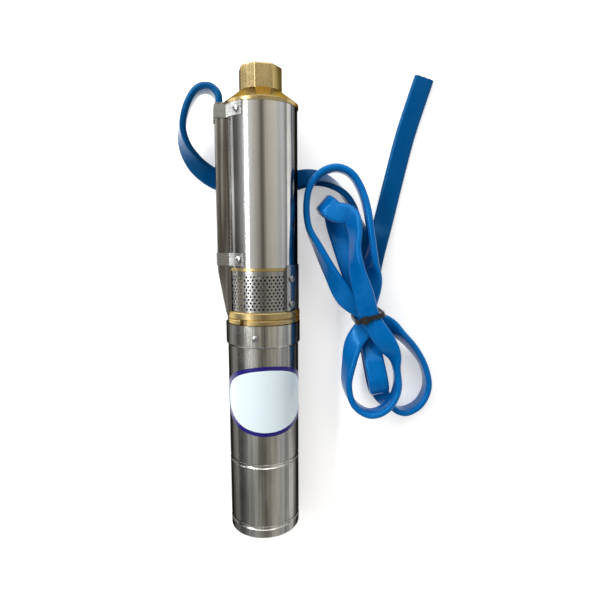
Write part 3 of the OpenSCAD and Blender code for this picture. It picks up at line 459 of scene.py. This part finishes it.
def mixed(tree, factor, first, second):
    """A colour that goes from the first to the second with a mask."""
    node = tree.nodes.new("ShaderNodeMix")
    node.data_type = "RGBA"
    if hasattr(first, "links"):
        tree.links.new(first, node.inputs["A"])
    else:
        node.inputs["A"].default_value = (*first, 1.0)
    node.inputs["B"].default_value = (*second, 1.0)
    tree.links.new(factor, node.inputs["Factor"])
    return node.outputs["Result"]


def overlaid(tree, mask, share, first, second):
    """A colour that goes a share of the way to the second where a mask is one."""
    return mixed(tree, ranged(tree, mask, 0.0, 1.0, 0.0, share), first, second)


def new_material(name):
    """A material with its Principled shader and its object coordinates."""
    mat = bpy.data.materials.new(name)
    mat.use_nodes = True
    tree = mat.node_tree
    shader = tree.nodes["Principled BSDF"]
    place = tree.nodes.new("ShaderNodeTexCoord").outputs["Object"]
    return mat, tree, shader, place


def bumped(tree, shader, height, strength, distance):
    """Lets a height tilt the shader's normal."""
    node = tree.nodes.new("ShaderNodeBump")
    node.inputs["Strength"].default_value = strength
    node.inputs["Distance"].default_value = distance
    tree.links.new(height, node.inputs["Height"])
    tree.links.new(node.outputs["Normal"], shader.inputs["Normal"])


def summed(tree, first, second):
    """The sum of two values, at most one."""
    total = computed(tree, "ADD", first, second)
    total.node.use_clamp = True
    return total


def metal_finish(name, colour, worn, rough, stretch, bump, edge, marks=45.0, dull=0.12, painted_reflection=0.0,
                 painted_reflection_reach=(0.012, 0.028), guard_side=0.0, painted_reflection_bands=None):
    """A metal with tool lines along one direction, dulled in soft patches, and painted dark reflection on its
    flanks.

    Streaks, the broad dark bands along the metal, are a painted reflection of dark surroundings;
    they are given by their stretch, detail and strength.
    """
    mat, tree, shader, place = new_material(name)
    lines = place_group(tree, "Tool Lines", place, Stretch=stretch)
    patches = place_group(tree, "Handling Marks", place, Patch_Scale=marks, Cover=0.45)
    toned = mixed(tree, lines.outputs["Tone"], worn, colour)
    # Broad dark bands along the metal: a painted reflection of dark surroundings.
    if painted_reflection_bands:
        broad_stretch, detail, strength = painted_reflection_bands
        broad = place_group(tree, "Tool Lines", place, Stretch=broad_stretch, Detail=detail)
        painted_band_mask = ranged(tree, broad.outputs["Tone"], 0.2, 0.8, strength, 0.0)
        toned = mixed(tree, painted_band_mask, toned, shade(colour, 0.25))
    toned = overlaid(tree, patches.outputs["Mask"], 0.35, toned, shade(colour, 0.78))
    # Painted dark reflection on the flanks and underside, reaching higher on the guard's side.
    if painted_reflection:
        flank = place_group(tree, "Painted Flank Reflection", place, Low=painted_reflection_reach[0], High=painted_reflection_reach[1],
                            Guard_Side=guard_side)
        toned = overlaid(tree, flank.outputs["Mask"], painted_reflection, toned, shade(colour, 0.1))
    tree.links.new(toned, shader.inputs["Base Color"])
    base = ranged(tree, lines.outputs["Tone"], 0.0, 1.0, rough * 0.8, rough * 1.25)
    tree.links.new(summed(tree, base, ranged(tree, patches.outputs["Mask"], 0.0, 1.0, 0.0, dull)),
                   shader.inputs["Roughness"])
    bumped(tree, shader, lines.outputs["Height"], bump, 0.0002)
    shader.inputs["Metallic"].default_value = 1.0
    shader.inputs["Specular Tint"].default_value = (*edge, 1.0)
    return mat


def bent_sheet_finish(name, colour, rough, edge, painted_reflection):
    """Hand-bent steel sheet: long shallow waves that break up its reflections, painted dark reflection in
    their hollows and on its flanks.
    """
    mat, tree, shader, place = new_material(name)
    lines = place_group(tree, "Tool Lines", place, Stretch=ALONG_TUBE)
    waves = place_group(tree, "Tool Lines", place, Stretch=(150.0, 5.0, 150.0), Detail=1.0)
    flank = place_group(tree, "Painted Flank Reflection", place, Low=0.014, High=0.026)
    toned = mixed(tree, lines.outputs["Tone"], shade(colour, 0.85), colour)
    # Painted dark reflection in the hollows of the waves.
    painted_hollow_reflection = ranged(tree, waves.outputs["Tone"], 0.25, 0.75, 0.9, 0.0)
    toned = mixed(tree, painted_hollow_reflection, toned, (0.26 * colour[0], 0.23 * colour[1], 0.21 * colour[2]))
    # Painted dark reflection on the sheet's flanks and underside.
    toned = overlaid(tree, flank.outputs["Mask"], painted_reflection, toned, shade(colour, 0.1))
    tree.links.new(toned, shader.inputs["Base Color"])
    tree.links.new(ranged(tree, lines.outputs["Tone"], 0.0, 1.0, rough * 0.8, rough * 1.25),
                   shader.inputs["Roughness"])
    bumped(tree, shader, waves.outputs["Height"], 0.3, 0.002)
    shader.inputs["Metallic"].default_value = 1.0
    shader.inputs["Specular Tint"].default_value = (*edge, 1.0)
    return mat


def grain_finish(name, colour, second, rough, grain, bump, metallic=0.0, level=0.5):
    """A cast, moulded or pressed surface with fine grain."""
    mat, tree, shader, place = new_material(name)
    fine = place_group(tree, "Fine Grain", place, Grain_Scale=grain)
    patches = place_group(tree, "Handling Marks", place, Patch_Scale=60.0, Cover=0.5)
    toned = mixed(tree, fine.outputs["Tone"], colour, second)
    pale = tuple(min(1.0, v * 1.25 + 0.01) for v in colour)
    toned = overlaid(tree, patches.outputs["Mask"], 0.3, toned, pale)
    tree.links.new(toned, shader.inputs["Base Color"])
    tree.links.new(ranged(tree, fine.outputs["Tone"], 0.0, 1.0, rough * 0.85, min(1.0, rough * 1.2)),
                   shader.inputs["Roughness"])
    bumped(tree, shader, fine.outputs["Height"], bump, 0.0003)
    shader.inputs["Metallic"].default_value = metallic
    shader.inputs["Specular IOR Level"].default_value = level
    return mat


def cable_finish(blue):
    """Smooth flexible sheath: faint lines along the cable, and painted shade that darkens it towards both of
    its ends.
    """
    mat, tree, shader, place = new_material("blue_sheath")
    uv = tree.nodes.new("ShaderNodeUVMap")
    uv.uv_map = "along"
    lines = place_group(tree, "Tool Lines", uv.outputs["UV"], Stretch=(60.0, 9.0, 1.0))
    patches = place_group(tree, "Handling Marks", place, Patch_Scale=38.0, Cover=0.5)
    toned = mixed(tree, lines.outputs["Tone"], shade(blue, 0.72), blue)
    pale = tuple(min(1.0, 1.15 * v + 0.012) for v in blue)
    toned = overlaid(tree, patches.outputs["Mask"], 0.5, toned, pale)
    run = tree.nodes.new("ShaderNodeSeparateXYZ")
    tree.links.new(uv.outputs["UV"], run.inputs["Vector"])
    # Painted shade: the cable is darker towards both of its ends, set by the length along it.
    ends = summed(tree, ranged(tree, run.outputs["Y"], 0.35, 0.55, 1.0, 0.0),
                  ranged(tree, run.outputs["Y"], 1.72, 1.9, 0.0, 1.0))
    toned = overlaid(tree, ends, 0.8, toned, shade(blue, 0.33))
    tree.links.new(toned, shader.inputs["Base Color"])
    tree.links.new(ranged(tree, patches.outputs["Mask"], 0.0, 1.0, 0.16, 0.28), shader.inputs["Roughness"])
    bumped(tree, shader, lines.outputs["Height"], 0.05, 0.0003)
    shader.inputs["Specular IOR Level"].default_value = 0.42
    shader.inputs["Specular Tint"].default_value = (0.15, 0.55, 1.0, 1.0)
    return mat


def plate_finish(name, colour, rough):
    """Printed face of the blank name plate: even ink with a faint unevenness under a smooth clear coat."""
    mat, tree, shader, place = new_material(name)
    fine = place_group(tree, "Fine Grain", place, Grain_Scale=700.0)
    patches = place_group(tree, "Handling Marks", place, Patch_Scale=30.0, Cover=0.45)
    toned = mixed(tree, fine.outputs["Tone"], colour, shade(colour, 0.95))
    toned = overlaid(tree, patches.outputs["Mask"], 0.4, toned, shade(colour, 0.93))
    tree.links.new(toned, shader.inputs["Base Color"])
    tree.links.new(ranged(tree, patches.outputs["Mask"], 0.0, 1.0, rough, rough + 0.12),
                   shader.inputs["Roughness"])
    bumped(tree, shader, fine.outputs["Height"], 0.03, 0.0001)
    return mat


# Settings that a user would change


class PumpSizes(bpy.types.PropertyGroup):
    """Sizes of the pieces that this file adds."""

    cable_width: bpy.props.FloatProperty(
        name="Cable Width", description="Width of the flat cable", default=0.022, min=0.01, unit="LENGTH")
    cable_thickness: bpy.props.FloatProperty(
        name="Cable Thickness", description="Thickness of the flat cable", default=0.007, min=0.003,
        unit="LENGTH")
    flats_width: bpy.props.FloatProperty(
        name="Spanner Flats", description="Width across the spanner flats of the outlet head", default=0.041,
        min=0.035, unit="LENGTH")
    cone_height: bpy.props.FloatProperty(
        name="Cone Height", description="Height of the cone under the spanner flats", default=0.0125,
        min=0.005, unit="LENGTH")
    thread_bore: bpy.props.FloatProperty(
        name="Thread Bore", description="Inner diameter of the outlet thread", default=0.0303, min=0.02,
        unit="LENGTH")
    plate_height: bpy.props.FloatProperty(
        name="Plate Height", description="Height of the oval name plate", default=0.0736, min=0.02,
        unit="LENGTH")
    plate_sweep: bpy.props.FloatProperty(
        name="Plate Sweep", description="Angle that the name plate covers round the motor",
        default=math.radians(177), subtype="ANGLE")
    plate_border: bpy.props.FloatProperty(
        name="Plate Border", description="Width of the name plate's border", default=0.0042, min=0.001,
        unit="LENGTH")


class PumpColours(bpy.types.PropertyGroup):
    """Colours of the main finishes."""

    motor: bpy.props.FloatVectorProperty(
        name="Motor Steel", description="Satin steel of the motor tube", subtype="COLOR",
        default=(0.9, 0.885, 0.83), min=0, max=1)
    casing: bpy.props.FloatVectorProperty(
        name="Casing Steel", description="Polished steel of the pump casing", subtype="COLOR",
        default=(0.74, 0.73, 0.71), min=0, max=1)
    sheet: bpy.props.FloatVectorProperty(
        name="Sheet Steel", description="Strainer, guard and straps", subtype="COLOR",
        default=(0.66, 0.66, 0.65), min=0, max=1)
    brass: bpy.props.FloatVectorProperty(
        name="Brass", description="Brass head and rings", subtype="COLOR",
        default=(0.62, 0.475, 0.225), min=0, max=1)
    cable: bpy.props.FloatVectorProperty(
        name="Cable Blue", description="Sheath of the flat cable", subtype="COLOR",
        default=(0.0, 0.14, 0.46), min=0, max=1)
    plate: bpy.props.FloatVectorProperty(
        name="Plate Face", description="Face of the name plate", subtype="COLOR",
        default=(0.75, 0.86, 0.92), min=0, max=1)
    border: bpy.props.FloatVectorProperty(
        name="Plate Border", description="Border of the name plate", subtype="COLOR",
        default=(0.012, 0.005, 0.16), min=0, max=1)


# Operators


class PUMP_OT_finishes(bpy.types.Operator):
    """Give every solid of the pump its finish"""

    bl_idname = "pump.finishes"
    bl_label = "Finishes"

    def execute(self, context):
        colours = context.scene.pump_colours
        tool_lines_group()
        marks_group()
        grain_group()
        painted_reflection_group()
        for nodes, material in (*self.shell_finishes(colours), *self.inner_finishes()):
            for node in nodes:
                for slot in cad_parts[node].material_slots:
                    slot.material = material
        return {"FINISHED"}

    def shell_finishes(self, colours):
        """Nodes and materials of the pieces seen from outside, and of the housing that shares the cap's."""
        motor, casing = tuple(colours.motor), tuple(colours.casing)
        steel, brass = tuple(colours.sheet), tuple(colours.brass)
        # Where given, the last values set each piece's painted dark reflection on its flanks and its painted
        # reflection bands.
        return (
            (("motor_tube",), metal_finish(
                "satin_motor_steel", motor, shade(motor, 0.82), rough=0.2, stretch=(1500.0, 6.0, 1500.0),
                bump=0.02, edge=DARK_EDGE, marks=25.0, dull=0.1, painted_reflection=0.88, painted_reflection_reach=(0.016, 0.034),
                guard_side=0.35, painted_reflection_bands=((190.0, 2.5, 190.0), 4.0, 0.75))),
            (("casing_tube",), metal_finish(
                "polished_casing_steel", casing, shade(casing, 0.9), rough=0.1, stretch=ALONG_TUBE,
                bump=0.012, edge=DARK_EDGE, dull=0.05, painted_reflection=0.9, painted_reflection_reach=(0.014, 0.031),
                guard_side=0.32)),
            (("cable_guard",), bent_sheet_finish(
                "bent_guard_steel", shade(steel, 1.35), rough=0.24, edge=DARK_EDGE, painted_reflection=0.6)),
            (("strainer_screen", "strainer_plate"), metal_finish(
                "pressed_sheet_steel", shade(steel, 0.7), shade(steel, 0.5), rough=0.24, stretch=ALONG_TUBE,
                bump=0.05, edge=DARK_EDGE, painted_reflection=0.7)),
            (("upper_guard_strap", "lower_guard_strap"), metal_finish(
                "bright_strap_steel", (0.57, 0.58, 0.57), (0.4, 0.4, 0.39), rough=0.28, stretch=ROUND_TUBE,
                bump=0.05, edge=(0.4, 0.4, 0.4), painted_reflection=0.7, painted_reflection_reach=(0.01, 0.02))),
            (("collar_screws", "strainer_screws", "guard_screws", "filler_plug"), metal_finish(
                "screw_steel", (0.5, 0.5, 0.5), (0.3, 0.3, 0.3), rough=0.3, stretch=(600.0, 600.0, 600.0),
                bump=0.08, edge=(0.3, 0.3, 0.3))),
            (("motor_head", "intake_body"), metal_finish(
                "turned_brass", brass, shade(brass, 0.88), rough=0.3, stretch=ROUND_TUBE, bump=0.02,
                edge=(0.35, 0.24, 0.1), marks=55.0, painted_reflection=0.85, painted_reflection_reach=(0.008, 0.026))),
            (("outlet_head",), metal_finish(
                "milled_brass", shade(brass, 0.88), shade(brass, 0.78), rough=0.25, stretch=ALONG_TUBE,
                bump=0.015, edge=(0.3, 0.22, 0.1), marks=70.0, painted_reflection=0.9, painted_reflection_reach=(0.006, 0.02),
                painted_reflection_bands=((90.0, 10.0, 90.0), 2.0, 0.2))),
            (("bottom_cap", "lower_bearing_housing"), grain_finish(
                "cast_iron_grey", (0.13, 0.13, 0.135), (0.07, 0.07, 0.073), rough=0.6, grain=700.0, bump=0.3,
                metallic=0.6)),
            (("cable_tie",), grain_finish(
                "black_tie", (0.012, 0.012, 0.013), (0.022, 0.022, 0.024), rough=0.35, grain=900.0,
                bump=0.05)),
            (("guarded_cable",), cable_finish(tuple(colours.cable))),
        )

    def inner_finishes(self):
        """Nodes and materials of the pieces inside the tubes."""
        return (
            (("motor_shaft", "connecting_rod", "drive_coupling", "stator_sleeve"), metal_finish(
                "turned_shaft_steel", (0.6, 0.61, 0.62), (0.45, 0.46, 0.47), rough=0.22, stretch=ROUND_TUBE,
                bump=0.05, edge=DARK_EDGE)),
            (("lower_bearing_outer", "lower_bearing_balls", "lower_bearing_inner",
              "upper_bearing_inner", "upper_bearing_balls", "upper_bearing_outer"), metal_finish(
                "ground_bearing_steel", (0.75, 0.75, 0.76), (0.64, 0.64, 0.66), rough=0.12,
                stretch=ROUND_TUBE, bump=0.02, edge=DARK_EDGE)),
            (("screw_rotor",), metal_finish(
                "chromed_screw", (0.8, 0.8, 0.8), (0.7, 0.7, 0.71), rough=0.1, stretch=ALONG_TUBE, bump=0.02,
                edge=DARK_EDGE)),
            (("stator_core", "rotor_core"), metal_finish(
                "stacked_laminations", (0.3, 0.31, 0.33), (0.12, 0.12, 0.13), rough=0.42,
                stretch=(8.0, 3500.0, 8.0), bump=0.2, edge=DARK_EDGE)),
            (("stator_winding",), metal_finish(
                "varnished_copper_wire", (0.62, 0.27, 0.1), (0.3, 0.11, 0.035), rough=0.35,
                stretch=(900.0, 900.0, 900.0), bump=0.25, edge=(0.3, 0.15, 0.06))),
            (("rotor_magnets",), grain_finish(
                "plated_magnets", (0.2, 0.2, 0.22), (0.14, 0.14, 0.16), rough=0.34, grain=600.0, bump=0.05,
                metallic=1.0)),
            (("pressure_diaphragm", "intake_seal", "outlet_seal",
              "rubber_stator", "sand_slinger", "cable_gland"), grain_finish(
                "black_rubber", (0.022, 0.022, 0.023), (0.035, 0.035, 0.036), rough=0.7, grain=800.0,
                bump=0.12, level=0.35)),
            (("seal_seat",), grain_finish(
                "lapped_ceramic", (0.78, 0.75, 0.68), (0.72, 0.69, 0.62), rough=0.18, grain=900.0,
                bump=0.02)),
            (("rotating_seal",), grain_finish(
                "pressed_carbon", (0.03, 0.03, 0.032), (0.05, 0.05, 0.053), rough=0.5, grain=900.0,
                bump=0.1)),
        )


class PUMP_OT_cable(bpy.types.Operator):
    """Lay the flat cable from the guard, under the casing and round the tied hank"""

    bl_idname = "pump.cable"
    bl_label = "Flat Cable"

    def execute(self, context):
        sizes = context.scene.pump_sizes
        mid, along, side, face = cable_frames(sizes.cable_width, sizes.cable_thickness)
        outline = flat_section(sizes.cable_width, sizes.cable_thickness)
        count, rings = len(outline), len(mid)
        verts = [mid[i] + side[i] * u + face[i] * v for i in range(rings) for u, v in outline]
        faces = [(low + k, low + (k + 1) % count, low + count + (k + 1) % count, low + count + k)
                 for low in range(0, (rings - 1) * count, count) for k in range(count)]
        faces.append(tuple(range(count - 1, -1, -1)))
        faces.append(tuple((rings - 1) * count + k for k in range(count)))
        mesh = bpy.data.meshes.new("flat_cable")
        mesh.from_pydata([tuple(v) for v in verts], [], faces)
        run = np.concatenate(([0.0], np.cumsum(np.linalg.norm(np.diff(mid, axis=0), axis=1))))
        layer = mesh.uv_layers.new(name="along")
        for polygon in mesh.polygons:
            for loop, vert in zip(polygon.loop_indices, polygon.vertices):
                layer.data[loop].uv = ((vert % count) / count, run[vert // count])
        cable = bpy.data.objects.new("flat_cable", mesh)
        context.collection.objects.link(cable)
        face_out(cable)
        bpy.ops.object.shade_smooth_by_angle(angle=math.radians(50))
        cable.data.materials.append(bpy.data.materials["blue_sheath"])
        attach(cable, PUMP)
        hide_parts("cable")
        cores = cut_cores(mid[-1], along[-1], side[-1], face[-1])
        return {"FINISHED"}


def cut_cores(point, along, side, face):
    """The cable's three cores where it is cut off: insulation and bunched wire, just proud of the sheath."""
    turn = Matrix((side, face, along)).transposed()
    made = []
    for name, offset, colour in CORES:
        deselect()
        bpy.ops.mesh.primitive_cylinder_add(vertices=32, radius=CORE_R, depth=CORE_LENGTH)
        core = named("core_" + name)
        pick_top(core)
        bpy.ops.mesh.inset(thickness=INSULATION)
        bpy.ops.mesh.extrude_region_move(TRANSFORM_OT_translate={"value": (0, 0, WIRE_LENGTH)})
        bpy.ops.mesh.inset(thickness=WIRE_ROUND)
        bpy.ops.object.mode_set(mode="OBJECT")
        spot = Vector(point) + Vector(side) * offset - Vector(along) * CORE_SUNK
        core.matrix_world = Matrix.Translation(spot) @ turn.to_4x4()
        settle(core)
        core.data.materials.append(grain_finish(
            "core_insulation_" + name, colour, shade(colour, 0.8), rough=0.4, grain=900.0, bump=0.03))
        core.data.materials.append(bpy.data.materials["varnished_copper_wire"])
        tip = max(Vector(p.center).dot(Vector(along)) for p in core.data.polygons)
        for polygon in core.data.polygons:
            if Vector(polygon.center).dot(Vector(along)) > tip - WIRE_SHOWN:
                polygon.material_index = 1
        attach(core, PUMP)
        made.append(core)
    return made


class PUMP_OT_head(bpy.types.Operator):
    """Model the brass outlet head: lip, cone, eight spanner flats and the pipe thread in its bore"""

    bl_idname = "pump.head"
    bl_label = "Outlet Head"

    def execute(self, context):
        sizes = context.scene.pump_sizes
        top, lip = HEAD_TOP, HEAD_LIP
        cone_top = lip + LIP_OUTLINE[-1][1] + sizes.cone_height / MM
        crest = sizes.thread_bore / MM / 2
        root = crest + THREAD_DEPTH
        outline = [(radius, lip + height) for radius, height in LIP_OUTLINE]
        outline += [(radius, cone_top + height) for radius, height in CONE_OUTLINE]
        head = turned_solid("outlet_head_brass", outline, HEAD_SIDES)
        flats = self.add_flats(sizes.flats_width / MM, lip + 5.0, top)
        cut_or_join(head, flats, "UNION")
        throat, mouth = crest - THROAT_STEP, root + MOUTH_STEP
        bore = turned_solid("bore", (
            (HEAD_BORE_R, lip - 19.0), (HEAD_BORE_R, lip - 6.0), (throat, lip + 10.0),
            (throat, top - THREAD_LENGTH), (root, top - THREAD_LENGTH), (root, top - 1.4), (mouth, top - 0.1),
            (mouth, top + 1.0)), BORE_SIDES)
        cut_or_join(head, bore, "DIFFERENCE")
        thread = self.add_thread(crest, root, top)
        for piece in (head, thread):
            piece.matrix_world = stand_up()
            settle(piece)
            face_out(piece)
            bpy.ops.object.shade_smooth_by_angle(angle=math.radians(8))
            piece.data.materials.append(bpy.data.materials["milled_brass"])
            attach(piece, PUMP)
        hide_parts("outlet_head")
        return {"FINISHED"}

    def add_flats(self, width, low, top):
        """An eight-sided prism with its top edge chamfered and its corners slightly rounded."""
        deselect()
        radius = width / 2 / math.cos(math.pi / 8) * MM
        shoulder = top - FLATS_CHAMFER
        bpy.ops.mesh.primitive_cylinder_add(vertices=8, radius=radius, depth=(shoulder - low) * MM,
                                            location=(0, 0, (shoulder + low) / 2 * MM),
                                            rotation=(0, 0, FLATS_TURN))
        flats = named("flats")
        settle(flats)
        pick_top(flats)
        bpy.ops.mesh.extrude_region_move(TRANSFORM_OT_translate={"value": (0, 0, FLATS_CHAMFER * MM)})
        bpy.ops.transform.resize(value=(CHAMFER_TAPER, CHAMFER_TAPER, 1.0))
        bpy.ops.object.mode_set(mode="OBJECT")
        corners = flats.modifiers.new("corners", "BEVEL")
        corners.width = CORNER_BEVEL * MM
        corners.segments = 3
        corners.limit_method = "ANGLE"
        corners.angle_limit = math.radians(30)
        apply_modifiers(flats)
        return flats

    def add_thread(self, crest, root, top):
        """The pipe thread's ridges, from their roots in the wall to their crests."""
        deselect()
        bpy.ops.mesh.primitive_circle_add(vertices=3, radius=0.001, fill_type="NOTHING")
        thread = named("outlet_thread")
        corners = ((root + 0.3, -1.0), (crest + 0.05, 0.0), (root + 0.3, 1.0))
        for vert, (radius, height) in zip(thread.data.vertices, corners):
            vert.co = (radius * MM, 0.0, (top - THREAD_START + height) * MM)
        coil = thread.modifiers.new("coil", "SCREW")
        coil.screw_offset = THREAD_PITCH * MM
        coil.iterations = THREAD_TURNS
        coil.steps = coil.render_steps = THREAD_STEPS
        apply_modifiers(thread)
        bpy.ops.object.mode_set(mode="EDIT")
        bpy.ops.mesh.select_all(action="SELECT")
        bpy.ops.mesh.fill_holes(sides=3)
        bpy.ops.object.mode_set(mode="OBJECT")
        return thread


class PUMP_OT_plate(bpy.types.Operator):
    """Wrap the blank oval name plate round the motor tube"""

    bl_idname = "pump.plate"
    bl_label = "Name Plate"

    def execute(self, context):
        sizes = context.scene.pump_sizes
        colours = context.scene.pump_colours
        deselect()
        bpy.ops.mesh.primitive_circle_add(vertices=160, radius=1.0, fill_type="NOTHING")
        plate = named("name_plate")
        bpy.ops.object.mode_set(mode="EDIT")
        bpy.ops.mesh.select_all(action="SELECT")
        half = sizes.plate_height / 2
        rim = 1.0 - sizes.plate_border / half
        ring = 1.0
        for step in (0.985, rim + 0.008, rim, *PLATE_RINGS):
            bpy.ops.mesh.extrude_edges_move()
            bpy.ops.transform.resize(value=(step / ring, step / ring, 1.0))
            ring = step
        bpy.ops.mesh.extrude_edges_move()
        bpy.ops.mesh.merge(type="CENTER")
        bpy.ops.object.mode_set(mode="OBJECT")
        plate.data.materials.append(plate_finish("plate_face", tuple(colours.plate), 0.2))
        plate.data.materials.append(plate_finish("plate_border", tuple(colours.border), 0.25))
        for polygon in plate.data.polygons:
            polygon.material_index = 1 if math.hypot(*polygon.center[:2]) > rim else 0
        sweep = math.degrees(sizes.plate_sweep) / 2
        for vert in plate.data.vertices:
            flat = vert.co.copy()
            angle, height = PLATE_SIDE + flat.x * sweep, PLATE_MIDDLE + flat.y * half / MM
            vert.co = on_tube(angle, height, TUBE_R + PLATE_GAP)
        face_out(plate)
        axis = laid(0, 0, PLATE_MIDDLE)
        middle = plate.data.polygons[0]
        if middle.normal.dot(middle.center - axis) < 0:
            plate.data.flip_normals()
        thick = plate.modifiers.new("thickness", "SOLIDIFY")
        thick.thickness = PLATE_THICKNESS * MM
        thick.offset = 1.0
        apply_modifiers(plate)
        bpy.ops.object.shade_smooth_by_angle(angle=math.radians(40))
        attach(plate, PUMP)
        return {"FINISHED"}


class PUMP_OT_stage(bpy.types.Operator):
    """Set up the camera, the pale floor, the studio walls and the lamps"""

    bl_idname = "pump.stage"
    bl_label = "Stage"

    def execute(self, context):
        scene = context.scene
        scene.view_settings.view_transform = "Standard"
        self.add_camera(scene)
        self.add_floor()
        self.add_surroundings(scene)
        self.add_lamps()
        return {"FINISHED"}

    def add_camera(self, scene):
        """The photograph's camera, set in the upright pump's frame."""
        pitch, roll = CAMERA_PITCH, CAMERA_ROLL
        origin = laid(0, 0, 0)
        ahead = laid(0, math.cos(pitch), -math.sin(pitch)) - origin
        right = laid(1, 0, 0) - origin
        up = right.cross(ahead).normalized()
        right.normalize()
        ahead.normalize()
        turned_right = right * math.cos(roll) + up * math.sin(roll)
        turned_up = up * math.cos(roll) - right * math.sin(roll)
        deselect()
        bpy.ops.object.camera_add()
        camera = named("camera")
        camera.data.sensor_width = CAMERA_SENSOR
        camera.data.lens = CAMERA_LENS
        camera.data.clip_start = 0.01
        turn = Matrix((turned_right, turned_up, -ahead)).transposed()
        camera.matrix_world = Matrix.Translation(laid(*CAMERA_SPOT)) @ turn.to_4x4()
        scene.camera = camera

    def add_floor(self):
        """A white floor that keeps the pump's shadow."""
        deselect()
        bpy.ops.mesh.primitive_plane_add(size=FLOOR_SIZE)
        floor = named("floor")
        for vert in floor.data.vertices:
            vert.co.z = -FLOOR_DROP
        mat, tree, shader, place = new_material("pale_floor")
        fine = place_group(tree, "Fine Grain", place, Grain_Scale=120.0)
        tree.links.new(mixed(tree, fine.outputs["Tone"], (0.95, 0.95, 0.95), (0.96, 0.96, 0.96)),
                       shader.inputs["Base Color"])
        shader.inputs["Roughness"].default_value = 0.9
        shader.inputs["Specular IOR Level"].default_value = 0.0
        shader.inputs["Emission Color"].default_value = (1.0, 1.0, 1.0, 1.0)
        rays = tree.nodes.new("ShaderNodeLightPath")
        seen = summed(tree, rays.outputs["Is Camera Ray"], rays.outputs["Is Glossy Ray"])
        seen = summed(tree, seen, rays.outputs["Is Transmission Ray"])
        tree.links.new(ranged(tree, seen, 0.0, 1.0, 0.0, FLOOR_GLOW), shader.inputs["Emission Strength"])
        floor.data.materials.append(mat)

    def add_surroundings(self, scene):
        """Studio walls as bands of tone round the pump's length, seen in its polished steel."""
        world = bpy.data.worlds.new("studio")
        scene.world = world
        world.use_nodes = True
        tree = world.node_tree
        way = tree.nodes.new("ShaderNodeSeparateXYZ")
        tree.links.new(tree.nodes.new("ShaderNodeTexCoord").outputs["Generated"], way.inputs["Vector"])
        angle = computed(tree, "ARCTAN2", way.outputs["X"], way.outputs["Z"])
        ramp = tree.nodes.new("ShaderNodeValToRGB")
        tree.links.new(ranged(tree, angle, -math.pi, math.pi), ramp.inputs["Fac"])
        stops = ramp.color_ramp.elements
        while len(stops) < len(WALL_BANDS):
            stops.new(0.5)
        for stop, (degrees, colour) in zip(stops, WALL_BANDS):
            stop.position = 0.5 + degrees / 360.0
            stop.color = (*colour, 1.0)
        past_ends = computed(tree, "ABSOLUTE", way.outputs["Y"])
        plain = ranged(tree, past_ends, PLAIN_FROM, PLAIN_WHOLLY)
        tree.links.new(mixed(tree, plain, ramp.outputs["Color"], PLAIN_WALL),
                       tree.nodes["Background"].inputs["Color"])
        level = tree.nodes.new("ShaderNodeMix")
        level.inputs["B"].default_value = 1.0
        tree.links.new(plain, level.inputs["Factor"])
        tree.links.new(ranged(tree, way.outputs["Y"], -0.8, 0.8, 0.3, 1.2), level.inputs["A"])
        tree.links.new(level.outputs["Result"], tree.nodes["Background"].inputs["Strength"])

    def add_lamps(self):
        """The strip seen along the casing, and two panels for the outlet head."""
        for name, spot, aim, width, height, power in LAMPS:
            deselect()
            bpy.ops.object.light_add(type="AREA", location=spot)
            lamp = named(name)
            lamp.data.shape = "RECTANGLE"
            lamp.data.size = width
            lamp.data.size_y = height
            lamp.data.energy = power
            lamp.rotation_euler = (Vector(aim) - Vector(spot)).to_track_quat("-Z", "Y").to_euler()


class PUMP_PT_panel(bpy.types.Panel):
    """Sidebar list of the pump's pieces"""

    bl_idname = "PUMP_PT_panel"
    bl_label = "Borehole Pump"
    bl_space_type = "VIEW_3D"
    bl_region_type = "UI"
    bl_category = "Borehole Pump"

    def draw(self, context):
        layout = self.layout
        for group in (context.scene.pump_sizes, context.scene.pump_colours):
            column = layout.column(align=True)
            for key in group.__annotations__:
                column.prop(group, key)
        for operator in OPERATORS:
            layout.operator(operator.bl_idname)


OPERATORS = (PUMP_OT_finishes, PUMP_OT_stage, PUMP_OT_cable, PUMP_OT_head, PUMP_OT_plate)
CLASSES = (PumpSizes, PumpColours, *OPERATORS, PUMP_PT_panel)


def register():
    for cls in CLASSES:
        bpy.utils.register_class(cls)
    bpy.types.Scene.pump_sizes = bpy.props.PointerProperty(type=PumpSizes)
    bpy.types.Scene.pump_colours = bpy.props.PointerProperty(type=PumpColours)


def unregister():
    del bpy.types.Scene.pump_colours
    del bpy.types.Scene.pump_sizes
    for cls in reversed(CLASSES):
        bpy.utils.unregister_class(cls)


def main():
    """Registers the add-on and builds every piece."""
    register()
    bpy.ops.pump.finishes()
    bpy.ops.pump.stage()
    bpy.ops.pump.cable()
    bpy.ops.pump.head()
    bpy.ops.pump.plate()


if __name__ == "__main__":
    main()
